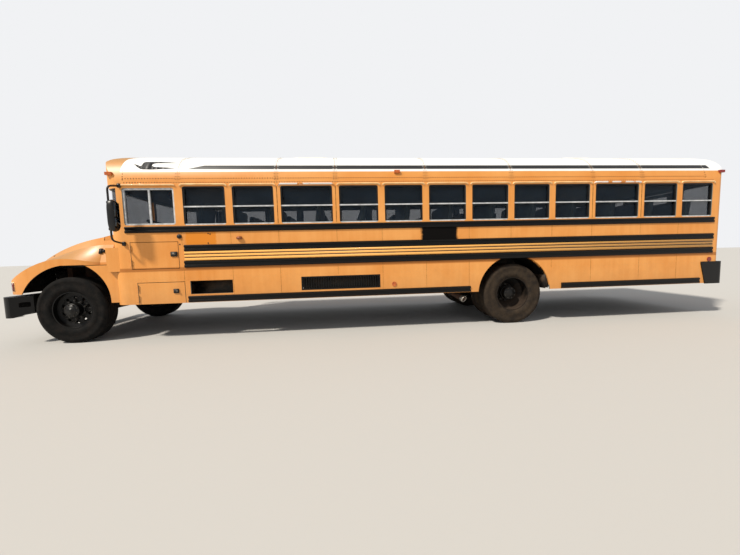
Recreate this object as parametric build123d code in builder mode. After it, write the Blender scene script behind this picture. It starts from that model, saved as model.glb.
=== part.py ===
from build123d import *
from math import atan2, cos, sin
import os

os.makedirs("parts", exist_ok=True)

# Full-size conventional school bus, millimetres.
# +X runs to the rear, +Y to the bus's right, +Z up, and z = 0 is the ground.
# The origin is on the ground at the middle of the overall length.

# Overall sizes
length = 11900.0            # front bumper face to rear bumper face
wheelbase = 7010.0
front_overhang = 975.0      # front bumper face to front axle
body_half = 1219.0          # half the body's width
roof_top = 3020.0
eave_z = 2400.0             # where the roof curves in
eave_radius = 450.0
skirt_z = 575.0             # lower edge of the skirts
floor_z = 1100.0            # top of the floor

wall_top = eave_z - 4.0      # the roof is set down over the side walls

# Sheet and wall thicknesses
wall = 60.0
skirt = 25.0
floor_sheet = 30.0
hood_sheet = 12.0
glass = 6.0

# Clearances
seat = 0.3                  # between pieces that rest on each other
run = 8.0                   # round doors, lids and other moving pieces

# Places along the bus
x_bumper = -length / 2
x_tail = length / 2
x_front_axle = x_bumper + front_overhang
x_rear_axle = x_front_axle + wheelbase
x_body = x_front_axle + 905.0         # front end of the side walls
x_rear = x_tail - 85.0                # rear face of the body
x_post = x_front_axle + 1724.0        # post behind the driver's window

# Round front of the body, seen from above
bow = 75.0
x_windshield = x_body - 230.0 - bow
front_corner = 230.0
rear_corner = 100.0
inner_corner = 50.0         # least corner radius inside the body

# Side windows: opening height, post width and the pitch of each bay from x_post
window_low = 1755.0
window_high = 2330.0
post = 105.0
bay = 719.0
wide_bay = 898.0
last_window = 580.0
bays = [bay, bay, wide_bay, bay, bay, bay, bay, bay, bay, wide_bay, bay]

# Wheels: 22.5 inch rims
tyre_radius = 508.0
tyre_width = 262.0
rim_radius = 286.0
front_wheel_y = body_half - 217.0
kingpin_y = front_wheel_y - 142.0
rear_outer_y = body_half - 175.0
rear_inner_y = rear_outer_y - 330.0
spindle_radius = 45.0
axle_z = tyre_radius

# Chassis
spring_y = 475.0            # middle of each leaf spring
rail_top = 950.0
rail_depth = 250.0
rail_flange = 80.0
rail_web = 10.0
rail_y = 430.0              # outer face of each rail

# Doors
door_front = x_body + 55.0  # entrance doorway, right side
door_rear = door_front + 720.0
door_low = 450.0
door_high = 2335.0
rear_door_half = 470.0
rear_door_low = 1110.0
rear_door_high = 2340.0
leaf = 40.0                 # thickness of a door leaf
barrel = 9.0                # radius of a hinge barrel
pin_out = 10.0              # hinge axis stands this far out of the panel


def block(x, y, z, mode=Mode.ADD):
    """A block between two limits on each axis."""
    middle = ((x[0] + x[1]) / 2, (y[0] + y[1]) / 2, (z[0] + z[1]) / 2)
    with Locations(middle):
        Box(x[1] - x[0], y[1] - y[0], z[1] - z[0], mode=mode)


def across(side, inner, outer):
    """A span across one side of the bus, from two distances off its middle."""
    return sorted((side * inner, side * outer))


def rod(start, end, radius, mode=Mode.ADD):
    """A round bar between two points."""
    line = Vector(*end) - Vector(*start)
    with Locations(Plane(origin=start, z_dir=line).location):
        Cylinder(radius, line.length, align=(Align.CENTER, Align.CENTER, Align.MIN), mode=mode)


def hinge(axis, out, along, spans):
    """Barrels of a vertical hinge with a flange each, out of a panel and along it."""
    strap = 30
    inner = pin_out - 3
    root = (axis[0] - out[0] * pin_out, axis[1] - out[1] * pin_out)
    tip = (axis[0] - out[0] * inner + along[0] * strap, axis[1] - out[1] * inner + along[1] * strap)
    for z_low, z_high in spans:
        rod((*axis, z_low), (*axis, z_high), barrel)
        block(sorted((root[0], tip[0])), sorted((root[1], tip[1])), (z_low, z_high))


def leaf_spans(places):
    """The door's barrels at each hinge height."""
    return [(z - 25, z + 25) for z in places]


def wall_spans(places):
    """The wall's barrels above and below each of the door's."""
    spans = []
    for z in places:
        spans += [(z - 50 - seat, z - 25 - seat), (z + 25 + seat, z + 50 + seat)]
    return spans


def save(part, name):
    """Labels a finished piece and writes its STEP file."""
    part.label = name
    export_step(part, f"parts/{name}.step")


# Window openings along a side, as (low x, high x)
windows = []
post_x = x_post
for pitch in bays:
    windows.append((post_x + post / 2, post_x + pitch - post / 2))
    post_x += pitch
windows.append((post_x + post / 2, post_x + post / 2 + last_window))
driver_window = (x_front_axle + 930.0, x_post - post / 2 - 15.0)

# Roof section: two eave arcs and a crown arc that meet without a crease
eave_y = body_half - eave_radius
crown = (eave_y**2 + (eave_z - roof_top)**2 - eave_radius**2) / (2 * (roof_top - eave_z - eave_radius))
eave_turn = atan2(eave_z - roof_top + crown, eave_y)


def roof_section(inset, base, x):
    """The roof's cross-section above a height under the eave, set in from its outer face."""
    radius = eave_radius - inset
    half = body_half - inset
    mid_turn = eave_turn / 2
    tangent = (eave_y + radius * cos(eave_turn), eave_z + radius * sin(eave_turn))
    mid = (eave_y + radius * cos(mid_turn), eave_z + radius * sin(mid_turn))
    with BuildSketch(Plane.YZ.offset(x)) as section:
        with BuildLine():
            ThreePointArc((-half, eave_z), (-mid[0], mid[1]), (-tangent[0], tangent[1]))
            ThreePointArc((-tangent[0], tangent[1]), (0, roof_top - inset), tangent)
            ThreePointArc(tangent, mid, (half, eave_z))
            Polyline((half, eave_z), (half, base), (-half, base), (-half, eave_z))
        make_face()
    return section.sketch


def nose_plan(inset, x_end, z, proud=0.0):
    """The body's round front seen from above, set in from its outer face."""
    half = body_half - inset
    x_face = x_windshield + inset - proud
    x_side = x_face + bow
    with BuildSketch(Plane.XY.offset(z)) as plan:
        with BuildLine():
            Line((x_end, -half), (x_side, -half))
            ThreePointArc((x_side, -half), (x_face, 0), (x_side, half))
            Polyline((x_side, half), (x_end, half), (x_end, -half))
        make_face()
        fillet(plan.vertices().group_by(Axis.X)[0], front_corner - inset)
    return plan.sketch


def tail_plan(inset, x_start, z):
    """The body's square rear with rounded corners, seen from above."""
    half = body_half - inset
    x_face = x_rear - inset
    with BuildSketch(Plane.XY.offset(z)) as plan:
        with Locations(((x_start + x_face) / 2, 0)):
            Rectangle(x_face - x_start, 2 * half)
        fillet(plan.vertices().group_by(Axis.X)[-1], max(rear_corner - inset, inner_corner))
    return plan.sketch


# Frame rails: channels with a bumper horn, a tow plate and two lugs for the hood's pivot each
rail_front = x_front_axle - 560.0
rail_rear = x_rear - wall - seat
rail_low = rail_top - rail_depth
rail_mid = (rail_top + rail_low) / 2
horn_front = x_bumper + 80.0
horn_z = (640.0, 745.0)
tow_bore = 20.0
tow_plate = 20.0
tow_x = x_bumper + 290.0
tow_z = horn_z[0] - 30.0
hood_pivot = (x_front_axle - 840.0, 790.0)
pivot_radius = 14.0
pivot_y = (352.0, 428.0)    # outer faces of the two lugs on each horn
lug = 12.0

for side, end in ((-1, "left"), (1, "right")):
    with BuildPart() as frame_rail:
        with BuildSketch(Plane.YZ.offset(rail_front)):
            with Locations((side * (rail_y - rail_flange / 2), rail_mid)):
                Rectangle(rail_flange, rail_depth)
            with Locations((side * (rail_y - rail_flange / 2 - rail_web), rail_mid)):
                Rectangle(rail_flange, rail_depth - 2 * rail_web, mode=Mode.SUBTRACT)
        extrude(amount=rail_rear - rail_front)
        block((horn_front, rail_front + 30), across(side, rail_y - rail_flange, rail_y), horn_z)
        tow_y = across(side, rail_y - tow_plate, rail_y)
        block((tow_x - 75, tow_x + 75), tow_y, (horn_z[0] - 85, horn_z[0]))
        rod((tow_x, tow_y[0] - 1, tow_z), (tow_x, tow_y[1] + 1, tow_z), tow_bore, Mode.SUBTRACT)
        for y_lug in (pivot_y[0], pivot_y[1] - lug):
            lug_y = across(side, y_lug, y_lug + lug)
            block((hood_pivot[0] - 14, hood_pivot[0] + 14), lug_y, (horn_z[1], hood_pivot[1]))
            boss = [(hood_pivot[0], y_end, hood_pivot[1]) for y_end in lug_y]
            rod(*boss, pivot_radius)
    save(frame_rail.part, f"rail_{end}")

# Cross-members: short channels with closed ends between the two rails' webs
member = 90.0
member_sheet = 8.0
member_z = (rail_top - 110.0, rail_top - 20.0)
member_half = rail_y - rail_web - seat
member_x = [-500.0, 1250.0, 2100.0, 3200.0, 4600.0, 5700.0, 6600.0, 8100.0, 9600.0]
with BuildPart() as cross_members:
    for place in member_x:
        x_at = x_front_axle + place
        hollow = member_half - member_sheet
        hollow_z = (member_z[0] + member_sheet, member_z[1] - member_sheet)
        block((x_at - member / 2, x_at + member / 2), (-member_half, member_half), member_z)
        block((x_at - member / 2 + member_sheet, x_at + member), (-hollow, hollow), hollow_z, Mode.SUBTRACT)
save(cross_members.part, "cross_members")

# Front axle: a dropped I-beam with a boss for each kingpin
boss_radius = 42.0
boss_half = 75.0
beam_half = 45.0            # half the beam's height and width
beam_drop = 65.0
beam_top = axle_z + beam_half - beam_drop
with BuildPart() as front_axle:
    with BuildSketch(Plane.YZ.offset(x_front_axle)) as beam:
        with BuildLine():
            Polyline(
                (-kingpin_y, axle_z + beam_half),
                (-kingpin_y + 130, axle_z + beam_half),
                (-kingpin_y + 260, beam_top),
                (kingpin_y - 260, beam_top),
                (kingpin_y - 130, axle_z + beam_half),
                (kingpin_y, axle_z + beam_half),
                (kingpin_y, axle_z - beam_half),
                (kingpin_y - 130, axle_z - beam_half),
                (kingpin_y - 260, beam_top - 2 * beam_half),
                (-kingpin_y + 260, beam_top - 2 * beam_half),
                (-kingpin_y + 130, axle_z - beam_half),
                (-kingpin_y, axle_z - beam_half),
                close=True,
            )
        make_face()
    extrude(amount=beam_half, both=True)
    for face in (-1, 1):
        with BuildSketch(Plane.YZ.offset(x_front_axle + face * (beam_half - 15))):
            add(beam.sketch_local)
            offset(amount=-15, mode=Mode.REPLACE)
        extrude(amount=face * 30, mode=Mode.SUBTRACT)
    for side in (-1, 1):
        base = (x_front_axle, side * kingpin_y, axle_z - boss_half)
        rod(base, (x_front_axle, side * kingpin_y, axle_z + boss_half), boss_radius)
        pad_y = side * spring_y
        block((x_front_axle - 75, x_front_axle + 75), (pad_y - 45, pad_y + 45), (beam_top - 5, beam_top + 20))
save(front_axle.part, "front_axle")

# Steering knuckles: a fork on the kingpin boss, a stub for the wheel and a steering arm
fork = 28.0
knuckle_back = kingpin_y + 78.0         # bolting face of the stub
stub_end = front_wheel_y + 75.0
for side, name in ((-1, "knuckle_left"), (1, "knuckle_right")):
    with BuildPart() as knuckle:
        pin = (x_front_axle, side * kingpin_y)
        for z_low in (axle_z - boss_half - seat - fork, axle_z + boss_half + seat):
            rod((*pin, z_low), (*pin, z_low + fork), boss_radius + 4)
            cheek = across(side, kingpin_y + 20, knuckle_back)
            block((x_front_axle - 44, x_front_axle + 44), cheek, (z_low, z_low + fork))
        plate_z = (axle_z - boss_half - fork, axle_z + boss_half + fork)
        plate_y = across(side, kingpin_y + boss_radius + 8, knuckle_back)
        block((x_front_axle - 60, x_front_axle + 60), plate_y, plate_z)
        stub = (x_front_axle, side * stub_end, axle_z)
        rod((x_front_axle, side * knuckle_back, axle_z), stub, spindle_radius)
        arm_z = (axle_z - boss_half - fork - seat, axle_z - boss_half - 6)
        block((x_front_axle + 48, x_front_axle + 190), across(side, kingpin_y - 10, kingpin_y + 60), arm_z)
    save(knuckle.part, name)

# Rear axle: banjo housing, tubes and hub stubs
with BuildPart() as rear_axle:
    tube_end = rear_outer_y + 30.0
    rod((x_rear_axle, -tube_end, axle_z), (x_rear_axle, tube_end, axle_z), spindle_radius + 10)
    rod((x_rear_axle, -560, axle_z), (x_rear_axle, 560, axle_z), 78)
    with Locations((x_rear_axle, 0, axle_z)):
        Sphere(190)
        with Locations(Location((-150, 0, 0), (0, 90, 0))):
            Cone(60, 110, 240)
    for side in (-1, 1):
        pad_y = side * spring_y
        block((x_rear_axle - 80, x_rear_axle + 80), (pad_y - 45, pad_y + 45), (axle_z + 60, axle_z + 92))
save(rear_axle.part, "rear_axle")

# Leaf springs: a bowed pack on each axle pad, hung from the rails by brackets
# columns: axle x, seat height on the axle, half length, leaf count
spring_table = [
    (x_front_axle, beam_top + 20 + seat, 560.0, 5),
    (x_rear_axle, axle_z + 92 + seat, 700.0, 8),
]
leaf_step = 11.0
with BuildPart() as leaf_springs:
    for x_axle, z_seat, half_len, leaves in spring_table:
        for side in (-1, 1):
            y_mid = side * spring_y
            rise = rail_low - 25 - z_seat
            with BuildSketch(Plane.XZ.offset(-y_mid - 38)):
                for number in range(leaves):
                    reach = half_len * (1 - 0.11 * (leaves - 1 - number))
                    z_leaf = z_seat + number * leaf_step
                    lift = max(rise - number * leaf_step, 10.0) * (reach / half_len) ** 2
                    with BuildLine():
                        ThreePointArc(
                            (x_axle - reach, z_leaf + lift), (x_axle, z_leaf), (x_axle + reach, z_leaf + lift)
                        )
                        Line((x_axle + reach, z_leaf + lift), (x_axle + reach, z_leaf + lift + leaf_step))
                        ThreePointArc(
                            (x_axle + reach, z_leaf + lift + leaf_step),
                            (x_axle, z_leaf + leaf_step),
                            (x_axle - reach, z_leaf + lift + leaf_step),
                        )
                        Line((x_axle - reach, z_leaf + lift + leaf_step), (x_axle - reach, z_leaf + lift))
                    make_face()
            extrude(amount=76)
            for end in (-1, 1):
                x_end = x_axle + end * (half_len - 15)
                hanger = across(side, rail_y + seat, spring_y + 45)
                block((x_end - 30, x_end + 30), hanger, (rail_low - 50, rail_low + 110))
save(leaf_springs.part, "leaf_springs")

# Wheels. Section of a tyre about its axle, as (offset across, radius)
bead = tyre_width / 2 - 22
tyre_half = tyre_width / 2


def tyre_section(y_mid):
    """Half section of a tyre in the plane of its axle, at its width's middle."""
    with BuildSketch(Plane.XY.offset(axle_z)) as section:
        with BuildLine():
            Line((rim_radius, y_mid - bead), (rim_radius, y_mid + bead))
            ThreePointArc(
                (rim_radius, y_mid + bead),
                ((rim_radius + tyre_radius) / 2, y_mid + tyre_half),
                (tyre_radius - 26, y_mid + tyre_half - 14),
            )
            Line((tyre_radius - 26, y_mid + tyre_half - 14), (tyre_radius, y_mid + tyre_half - 34))
            Line((tyre_radius, y_mid + tyre_half - 34), (tyre_radius, y_mid - tyre_half + 34))
            Line((tyre_radius, y_mid - tyre_half + 34), (tyre_radius - 26, y_mid - tyre_half + 14))
            ThreePointArc(
                (tyre_radius - 26, y_mid - tyre_half + 14),
                ((rim_radius + tyre_radius) / 2, y_mid - tyre_half),
                (rim_radius, y_mid - bead),
            )
        make_face()
    return section.sketch


def rim_section(y_mid, face, side):
    """Half section of a disc wheel: rim, dished disc and bolting face, dished towards side."""
    r_out = rim_radius - seat
    r_in = r_out - 14
    lip = bead - seat
    dish = abs(face - y_mid)
    root = min(dish - 15, lip - 50)
    waist = (root + dish) / 2
    # columns: radius, distance across from the rim's middle
    profile = [
        (r_out, -lip), (r_out, lip), (r_in, lip), (r_in, root + 34), (222, waist + 14), (170, dish + 9),
        (100, dish + 9), (100, dish - 9), (165, dish - 9), (214, waist - 6), (r_in, root), (r_in, -lip),
    ]
    with BuildSketch(Plane.XY.offset(axle_z)) as section:
        with BuildLine():
            Polyline([(radius, y_mid + side * reach) for radius, reach in profile], close=True)
        make_face()
    return section.sketch


front_face = front_wheel_y + 25.0
hub_reach = 90.0
drum_radius = 205.0
drum_sheet = 15.0


def brake_drum(x_axle, side, face, depth):
    """A brake drum on the inner side of a wheel's bolting face."""
    with BuildPart() as form:
        rod((x_axle, side * (face - depth), axle_z), (x_axle, side * face, axle_z), drum_radius)
        hollow_end = (x_axle, side * (face + 1), axle_z)
        rod((x_axle, side * (face - depth - 1), axle_z), hollow_end, drum_radius - drum_sheet, Mode.SUBTRACT)
    return form.part


for side, end in ((-1, "left"), (1, "right")):
    axle_line = Axis((x_front_axle, 0, axle_z), (0, 1, 0))
    with BuildPart() as tyre:
        add(tyre_section(side * front_wheel_y).moved(Location((x_front_axle, 0, 0))))
        revolve(axis=axle_line)
    save(tyre.part, f"front_tyre_{end}")
    with BuildPart() as wheel:
        add(rim_section(side * front_wheel_y, side * front_face, side).moved(Location((x_front_axle, 0, 0))))
        revolve(axis=axle_line)
        add(brake_drum(x_front_axle, side, front_face, 95))
        hub_ends = (side * (front_face - 70), side * (front_face + hub_reach))
        rod((x_front_axle, hub_ends[0], axle_z), (x_front_axle, hub_ends[1], axle_z), 106)
        bore_ends = (hub_ends[0] - side, side * (stub_end + 6))
        bore = [(x_front_axle, y_end, axle_z) for y_end in bore_ends]
        rod(*bore, spindle_radius + seat, Mode.SUBTRACT)
        with Locations(Plane(origin=(x_front_axle, side * front_face, axle_z), z_dir=(0, side, 0)).location):
            with PolarLocations(192, 10):
                Cylinder(24, 40, mode=Mode.SUBTRACT)
    save(wheel.part, f"front_wheel_{end}")

dual_face = (rear_outer_y + rear_inner_y) / 2
for side, end in ((-1, "left"), (1, "right")):
    axle_line = Axis((x_rear_axle, 0, axle_z), (0, 1, 0))
    with BuildPart() as tyre:
        for y_mid in (rear_inner_y, rear_outer_y):
            add(tyre_section(side * y_mid).moved(Location((x_rear_axle, 0, 0))))
        revolve(axis=axle_line)
    save(tyre.part, f"rear_tyres_{end}")
    with BuildPart() as wheel:
        at_axle = Location((x_rear_axle, 0, 0))
        add(rim_section(side * rear_outer_y, side * (dual_face + 9), -side).moved(at_axle))
        add(rim_section(side * rear_inner_y, side * (dual_face - 9), side).moved(at_axle))
        revolve(axis=axle_line)
        add(brake_drum(x_rear_axle, side, dual_face, 140))
        hub = [(x_rear_axle, side * y_end, axle_z) for y_end in (dual_face - 150, rear_outer_y + 20)]
        rod(*hub, 106)
        bore = [(x_rear_axle, side * y_end, axle_z) for y_end in (dual_face - 152, tube_end + 6)]
        rod(*bore, spindle_radius + 10 + seat, Mode.SUBTRACT)
    save(wheel.part, f"rear_wheels_{end}")

# Engine, gearbox and radiator as plain blocks, and the drive shaft to the rear axle
firewall_x = x_windshield - 30.0
with BuildPart() as driveline:
    block((x_front_axle - 420, firewall_x - 120), (-300, 300), (740, 1330))
    block((firewall_x - 120, firewall_x + 560), (-190, 190), (690, 940))
    block((x_front_axle - 680, x_front_axle - 600), (-340, 340), (775, 1150))
    block((x_front_axle - 600, x_front_axle - 420), (-60, 60), (980, 1080))
    shaft_start = firewall_x + 560
    pinion_x = x_rear_axle - 270 - seat
    rod((shaft_start, 0, 780), (pinion_x - 20, 0, axle_z), 48)
    rod((pinion_x - 24, 0, axle_z), (pinion_x, 0, axle_z), 58)
save(driveline.part, "driveline")

# Front bumper: a bent channel with slanted returns, each with a slot
bumper_low = 430.0
bumper_high = 745.0
bumper_sheet = 12.0
bumper_corner = 140.0
bumper_half = body_half - 69.0
bumper_tip = body_half - 189.0          # the returns slant in to this


def bumper_plan(inset, z):
    """The front bumper's outline seen from above, closed at its open side."""
    with BuildSketch(Plane.XY.offset(z)) as plan:
        with BuildLine():
            Polyline(
                (x_bumper + 375 + inset, -bumper_tip + inset * 1.1),
                (x_bumper + 150, -bumper_half + inset * 1.1),
                (x_bumper + inset, -bumper_half + inset),
                (x_bumper + inset, bumper_half - inset),
                (x_bumper + 150, bumper_half - inset * 1.1),
                (x_bumper + 375 + inset, bumper_tip - inset * 1.1),
                close=True,
            )
        make_face()
        fillet(plan.vertices().group_by(Axis.X)[0], bumper_corner - inset)
    return plan.sketch


with BuildPart() as front_bumper:
    extrude(bumper_plan(0, bumper_low), amount=bumper_high - bumper_low)
    extrude(bumper_plan(bumper_sheet, bumper_low + bumper_sheet),
            amount=bumper_high - bumper_low - 2 * bumper_sheet, mode=Mode.SUBTRACT)
    open_half = bumper_half - 150
    open_z = (bumper_low - 1, bumper_high + 1)
    block((x_bumper + 72, x_bumper + 500), (-open_half, open_half), open_z, Mode.SUBTRACT)
    inner_z = (bumper_low + 20, bumper_high - 20)
    block((x_bumper + 200, x_bumper + 500), (-body_half, body_half), inner_z, Mode.SUBTRACT)
    for side in (-1, 1):
        with BuildSketch(Plane.XY.offset(bumper_low)):
            with BuildLine():
                Polyline(
                    (x_bumper + 150, side * bumper_half),
                    (x_bumper + 375, side * bumper_tip),
                    (x_bumper + 375, side * (bumper_tip - 13)),
                    (x_bumper + 150, side * (bumper_half - 13)),
                    close=True,
                )
            make_face()
        extrude(amount=bumper_high - bumper_low)
    with BuildSketch(Plane.XZ):
        with BuildLine():
            Polyline(
                (x_bumper + 170, bumper_low - 1),
                (x_bumper + 380, bumper_low + 70),
                (x_bumper + 380, bumper_low - 1),
                close=True,
            )
        make_face()
        with Locations((x_bumper + 290, 620)):
            RectangleRounded(110, 75, 12)
    extrude(amount=body_half, both=True, mode=Mode.SUBTRACT)
    for side in (-1, 1):
        block((x_bumper + 10, horn_front - seat), across(side, rail_y - rail_flange, rail_y), horn_z)
save(front_bumper.part, "front_bumper")

# Rear bumper: a deep channel wrapped round the body's rear corners
rear_bumper_low = 565.0
rear_bumper_high = 960.0
rear_bumper_sheet = 14.0
rear_bumper_front = x_front_axle + 10468.0
rear_bumper_half = body_half + seat + rear_bumper_sheet
with BuildPart() as rear_bumper:
    with BuildSketch(Plane.XY.offset(rear_bumper_low)) as rear_bumper_plan:
        with Locations(((rear_bumper_front + x_tail) / 2, 0)):
            Rectangle(x_tail - rear_bumper_front, 2 * rear_bumper_half)
        fillet(rear_bumper_plan.vertices().group_by(Axis.X)[-1], rear_corner)
    extrude(amount=rear_bumper_high - rear_bumper_low)
    with BuildSketch(Plane.XY.offset(rear_bumper_low + rear_bumper_sheet)) as rear_bumper_inner:
        inner_end = x_tail - rear_bumper_sheet
        with Locations(((rear_bumper_front - 10 + inner_end) / 2, 0)):
            Rectangle(inner_end - rear_bumper_front + 10, 2 * (body_half + seat))
        fillet(rear_bumper_inner.vertices().group_by(Axis.X)[-1], rear_corner - rear_bumper_sheet)
    extrude(amount=rear_bumper_high - rear_bumper_low - 2 * rear_bumper_sheet, mode=Mode.SUBTRACT)
    extrude(tail_plan(-seat, rear_bumper_front - 10, rear_bumper_low - 1),
            amount=rear_bumper_high - rear_bumper_low + 2, mode=Mode.SUBTRACT)
    with BuildSketch(Plane.XZ):
        with BuildLine():
            Polyline(
                (rear_bumper_front - 5, rear_bumper_low - 1),
                (rear_bumper_front + 95, rear_bumper_low - 1),
                (rear_bumper_front - 5, rear_bumper_high - 20),
                close=True,
            )
        make_face()
    extrude(amount=rear_bumper_half + 10, both=True, mode=Mode.SUBTRACT)
save(rear_bumper.part, "rear_bumper")

# Floor sheet, cut out for the wheel housings and the entrance steps
arch_radius = 632.0
arch_z = 530.0
housing_sheet = 8.0
housing_y = 545.0           # inner end of each wheel housing
inside = body_half - wall - seat
steps = 3
step_tread = 230.0
step_y = inside - steps * step_tread    # inner end of the step well
step_rise = (floor_z - door_low) / steps
step_sheet = 10.0
with BuildPart() as floor:
    extrude(nose_plan(wall + seat, 0, floor_z - floor_sheet), amount=floor_sheet)
    extrude(tail_plan(wall + seat, 0, floor_z - floor_sheet), amount=floor_sheet)
    well_y = (step_y - step_sheet - seat, body_half)
    well_z = (floor_z - floor_sheet - 1, floor_z + 1)
    block((door_front - seat, door_rear + seat), well_y, well_z, Mode.SUBTRACT)
    for side in (-1, 1):
        start = (x_rear_axle, side * (housing_y - seat), arch_z)
        rod(start, (x_rear_axle, side * body_half, arch_z), arch_radius + housing_sheet + seat, Mode.SUBTRACT)
save(floor.part, "floor")

# Cross bearers under the sheet, cut short at the wheel housings and the steps
bearer = 40.0
bearer_low = rail_top + seat
bearer_z = (bearer_low, floor_z - floor_sheet - seat)
bearer_x = [x_body + 180 + 690 * number for number in range(14)]
with BuildPart() as floor_bearers:
    for x_at in bearer_x:
        block((x_at, x_at + bearer), (-inside, inside), bearer_z)
    cut_z = (bearer_low - 1, floor_z)
    block((door_front - seat, door_rear + seat), (step_y - step_sheet - seat, body_half), cut_z, Mode.SUBTRACT)
    housing_reach = arch_radius + housing_sheet + seat
    for side in (-1, 1):
        cut_x = (x_rear_axle - housing_reach, x_rear_axle + housing_reach)
        block(cut_x, across(side, housing_y - seat, body_half), cut_z, Mode.SUBTRACT)
save(floor_bearers.part, "floor_bearers")

# Wheel housings: half drums over the twin wheels, closed at their inner ends
with BuildPart() as wheel_housings:
    for side in (-1, 1):
        inner = (x_rear_axle, side * housing_y, arch_z)
        rod(inner, (x_rear_axle, side * inside, arch_z), arch_radius + housing_sheet)
        hollow = (x_rear_axle, side * (housing_y + housing_sheet), arch_z)
        rod(hollow, (x_rear_axle, side * body_half, arch_z), arch_radius, Mode.SUBTRACT)
    below = ((x_rear_axle - 660, x_rear_axle + 660), (-body_half, body_half))
    block(*below, (arch_z - 660, arch_z + 60), Mode.SUBTRACT)
save(wheel_housings.part, "wheel_housings")

# Entrance steps: treads and risers between two side sheets
with BuildPart() as entrance_steps:
    for number in range(steps):
        y_out = inside - number * step_tread
        z_tread = door_low + number * step_rise
        riser = (y_out - step_tread - step_sheet, y_out - step_tread)
        block((door_front, door_rear), (riser[0], y_out), (z_tread - step_sheet, z_tread))
        block((door_front, door_rear), riser, (z_tread - step_sheet, z_tread + step_rise))
        for x_at in (door_front, door_rear - step_sheet):
            block((x_at, x_at + step_sheet), (riser[0], y_out), (z_tread - step_sheet, floor_z))
save(entrance_steps.part, "entrance_steps")

# Side walls above the sill: window openings, pressed ribs and the electrical box
sill_z = rail_top
x_wall_end = x_rear - rear_corner - wall
x_side = x_front_axle                   # side features are placed from the front axle
rib_z = [1256.0, 1291.0, 1326.0]
rib_radius = 12.0
rib_x = (x_post + 30, x_wall_end - 20)
window_round = 35.0
window_mid = (window_low + window_high) / 2
window_height = window_high - window_low
driver_mid = window_mid - 5.0
driver_height = window_height - 30.0
electrical = ((x_side + 980, x_side + 1668), (1105.0, 1515.0))
battery = ((x_side + 1040, x_side + 1725), (skirt_z, 905.0))
lost_panel = ((x_side + 1800, x_side + 2430), (705.0, 910.0))
vent = ((x_side + 3475, x_side + 4732), (705.0, 920.0))
pocket = 45.0                           # depth of the electrical box in the wall

electrical_axis = (electrical[0][0] + run / 2, -body_half - pin_out)
battery_axis = (battery[0][0] + run / 2, -body_half - pin_out)
electrical_hinges = [1200.0, 1420.0]
battery_hinges = [660.0, 820.0]
front_leaf_axis = (door_front + run / 2, body_half + pin_out)
rear_leaf_axis = (door_rear - run / 2, body_half + pin_out)
leaf_hinges = [700.0, 1450.0, 2200.0]
rear_door_axis = (x_rear + pin_out, rear_door_half - run / 2)
rear_door_hinges = [1250.0, 1700.0, 2200.0]

side_walls = []
for side, end in ((-1, "left"), (1, "right")):
    with BuildPart() as side_wall:
        block((x_body, x_wall_end), across(side, body_half - wall, body_half), (sill_z, wall_top - seat))
        for z_rib in rib_z:
            rod((rib_x[0], side * body_half, z_rib), (rib_x[1], side * body_half, z_rib), rib_radius)
        with BuildSketch(Plane.XZ.offset(-side * body_half)):
            for low, high in windows:
                with Locations(((low + high) / 2, window_mid)):
                    RectangleRounded(high - low, window_height, window_round)
            with Locations((x_rear_axle, arch_z)):
                Circle(arch_radius)
            if side < 0:
                with Locations(((driver_window[0] + driver_window[1]) / 2, driver_mid)):
                    RectangleRounded(driver_window[1] - driver_window[0], driver_height, window_round)
        extrude(amount=wall + 20, both=True, mode=Mode.SUBTRACT)
        if side < 0:
            block(electrical[0], (-body_half - 1, -body_half + pocket), electrical[1], Mode.SUBTRACT)
            hinge(electrical_axis, (0, -1), (-1, 0), wall_spans(electrical_hinges))
        else:
            opening_y = (body_half - wall - 1, body_half + 1)
            block((door_front, door_rear), opening_y, (sill_z - 1, door_high), Mode.SUBTRACT)
            hinge(front_leaf_axis, (0, 1), (-1, 0), wall_spans(leaf_hinges[1:]))
            hinge(rear_leaf_axis, (0, 1), (1, 0), wall_spans(leaf_hinges[1:]))
    save(side_wall.part, f"{end}_wall")
    side_walls.append(side_wall.part)

# Skirts: a single sheet under each wall, with the openings for what stands behind it
for side, end in ((-1, "left"), (1, "right")):
    with BuildPart() as side_skirt:
        sheet_y = across(side, body_half - skirt, body_half)
        through = (sheet_y[0] - 1, sheet_y[1] + 1)
        block((x_body, x_wall_end), sheet_y, (skirt_z, sill_z - seat))
        start = (x_rear_axle, through[0], arch_z)
        rod(start, (x_rear_axle, through[1], arch_z), arch_radius, Mode.SUBTRACT)
        if side < 0:
            for x_span, z_span in (lost_panel, vent):
                block(x_span, through, z_span, Mode.SUBTRACT)
            block(battery[0], through, (battery[1][0] - 1, battery[1][1]), Mode.SUBTRACT)
            hinge(battery_axis, (0, -1), (-1, 0), wall_spans(battery_hinges))
        else:
            block((door_front, door_rear), through, (skirt_z - 1, sill_z), Mode.SUBTRACT)
            hinge(front_leaf_axis, (0, 1), (-1, 0), wall_spans(leaf_hinges[:1]))
            hinge(rear_leaf_axis, (0, 1), (1, 0), wall_spans(leaf_hinges[:1]))
    save(side_skirt.part, f"{end}_skirt")

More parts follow.
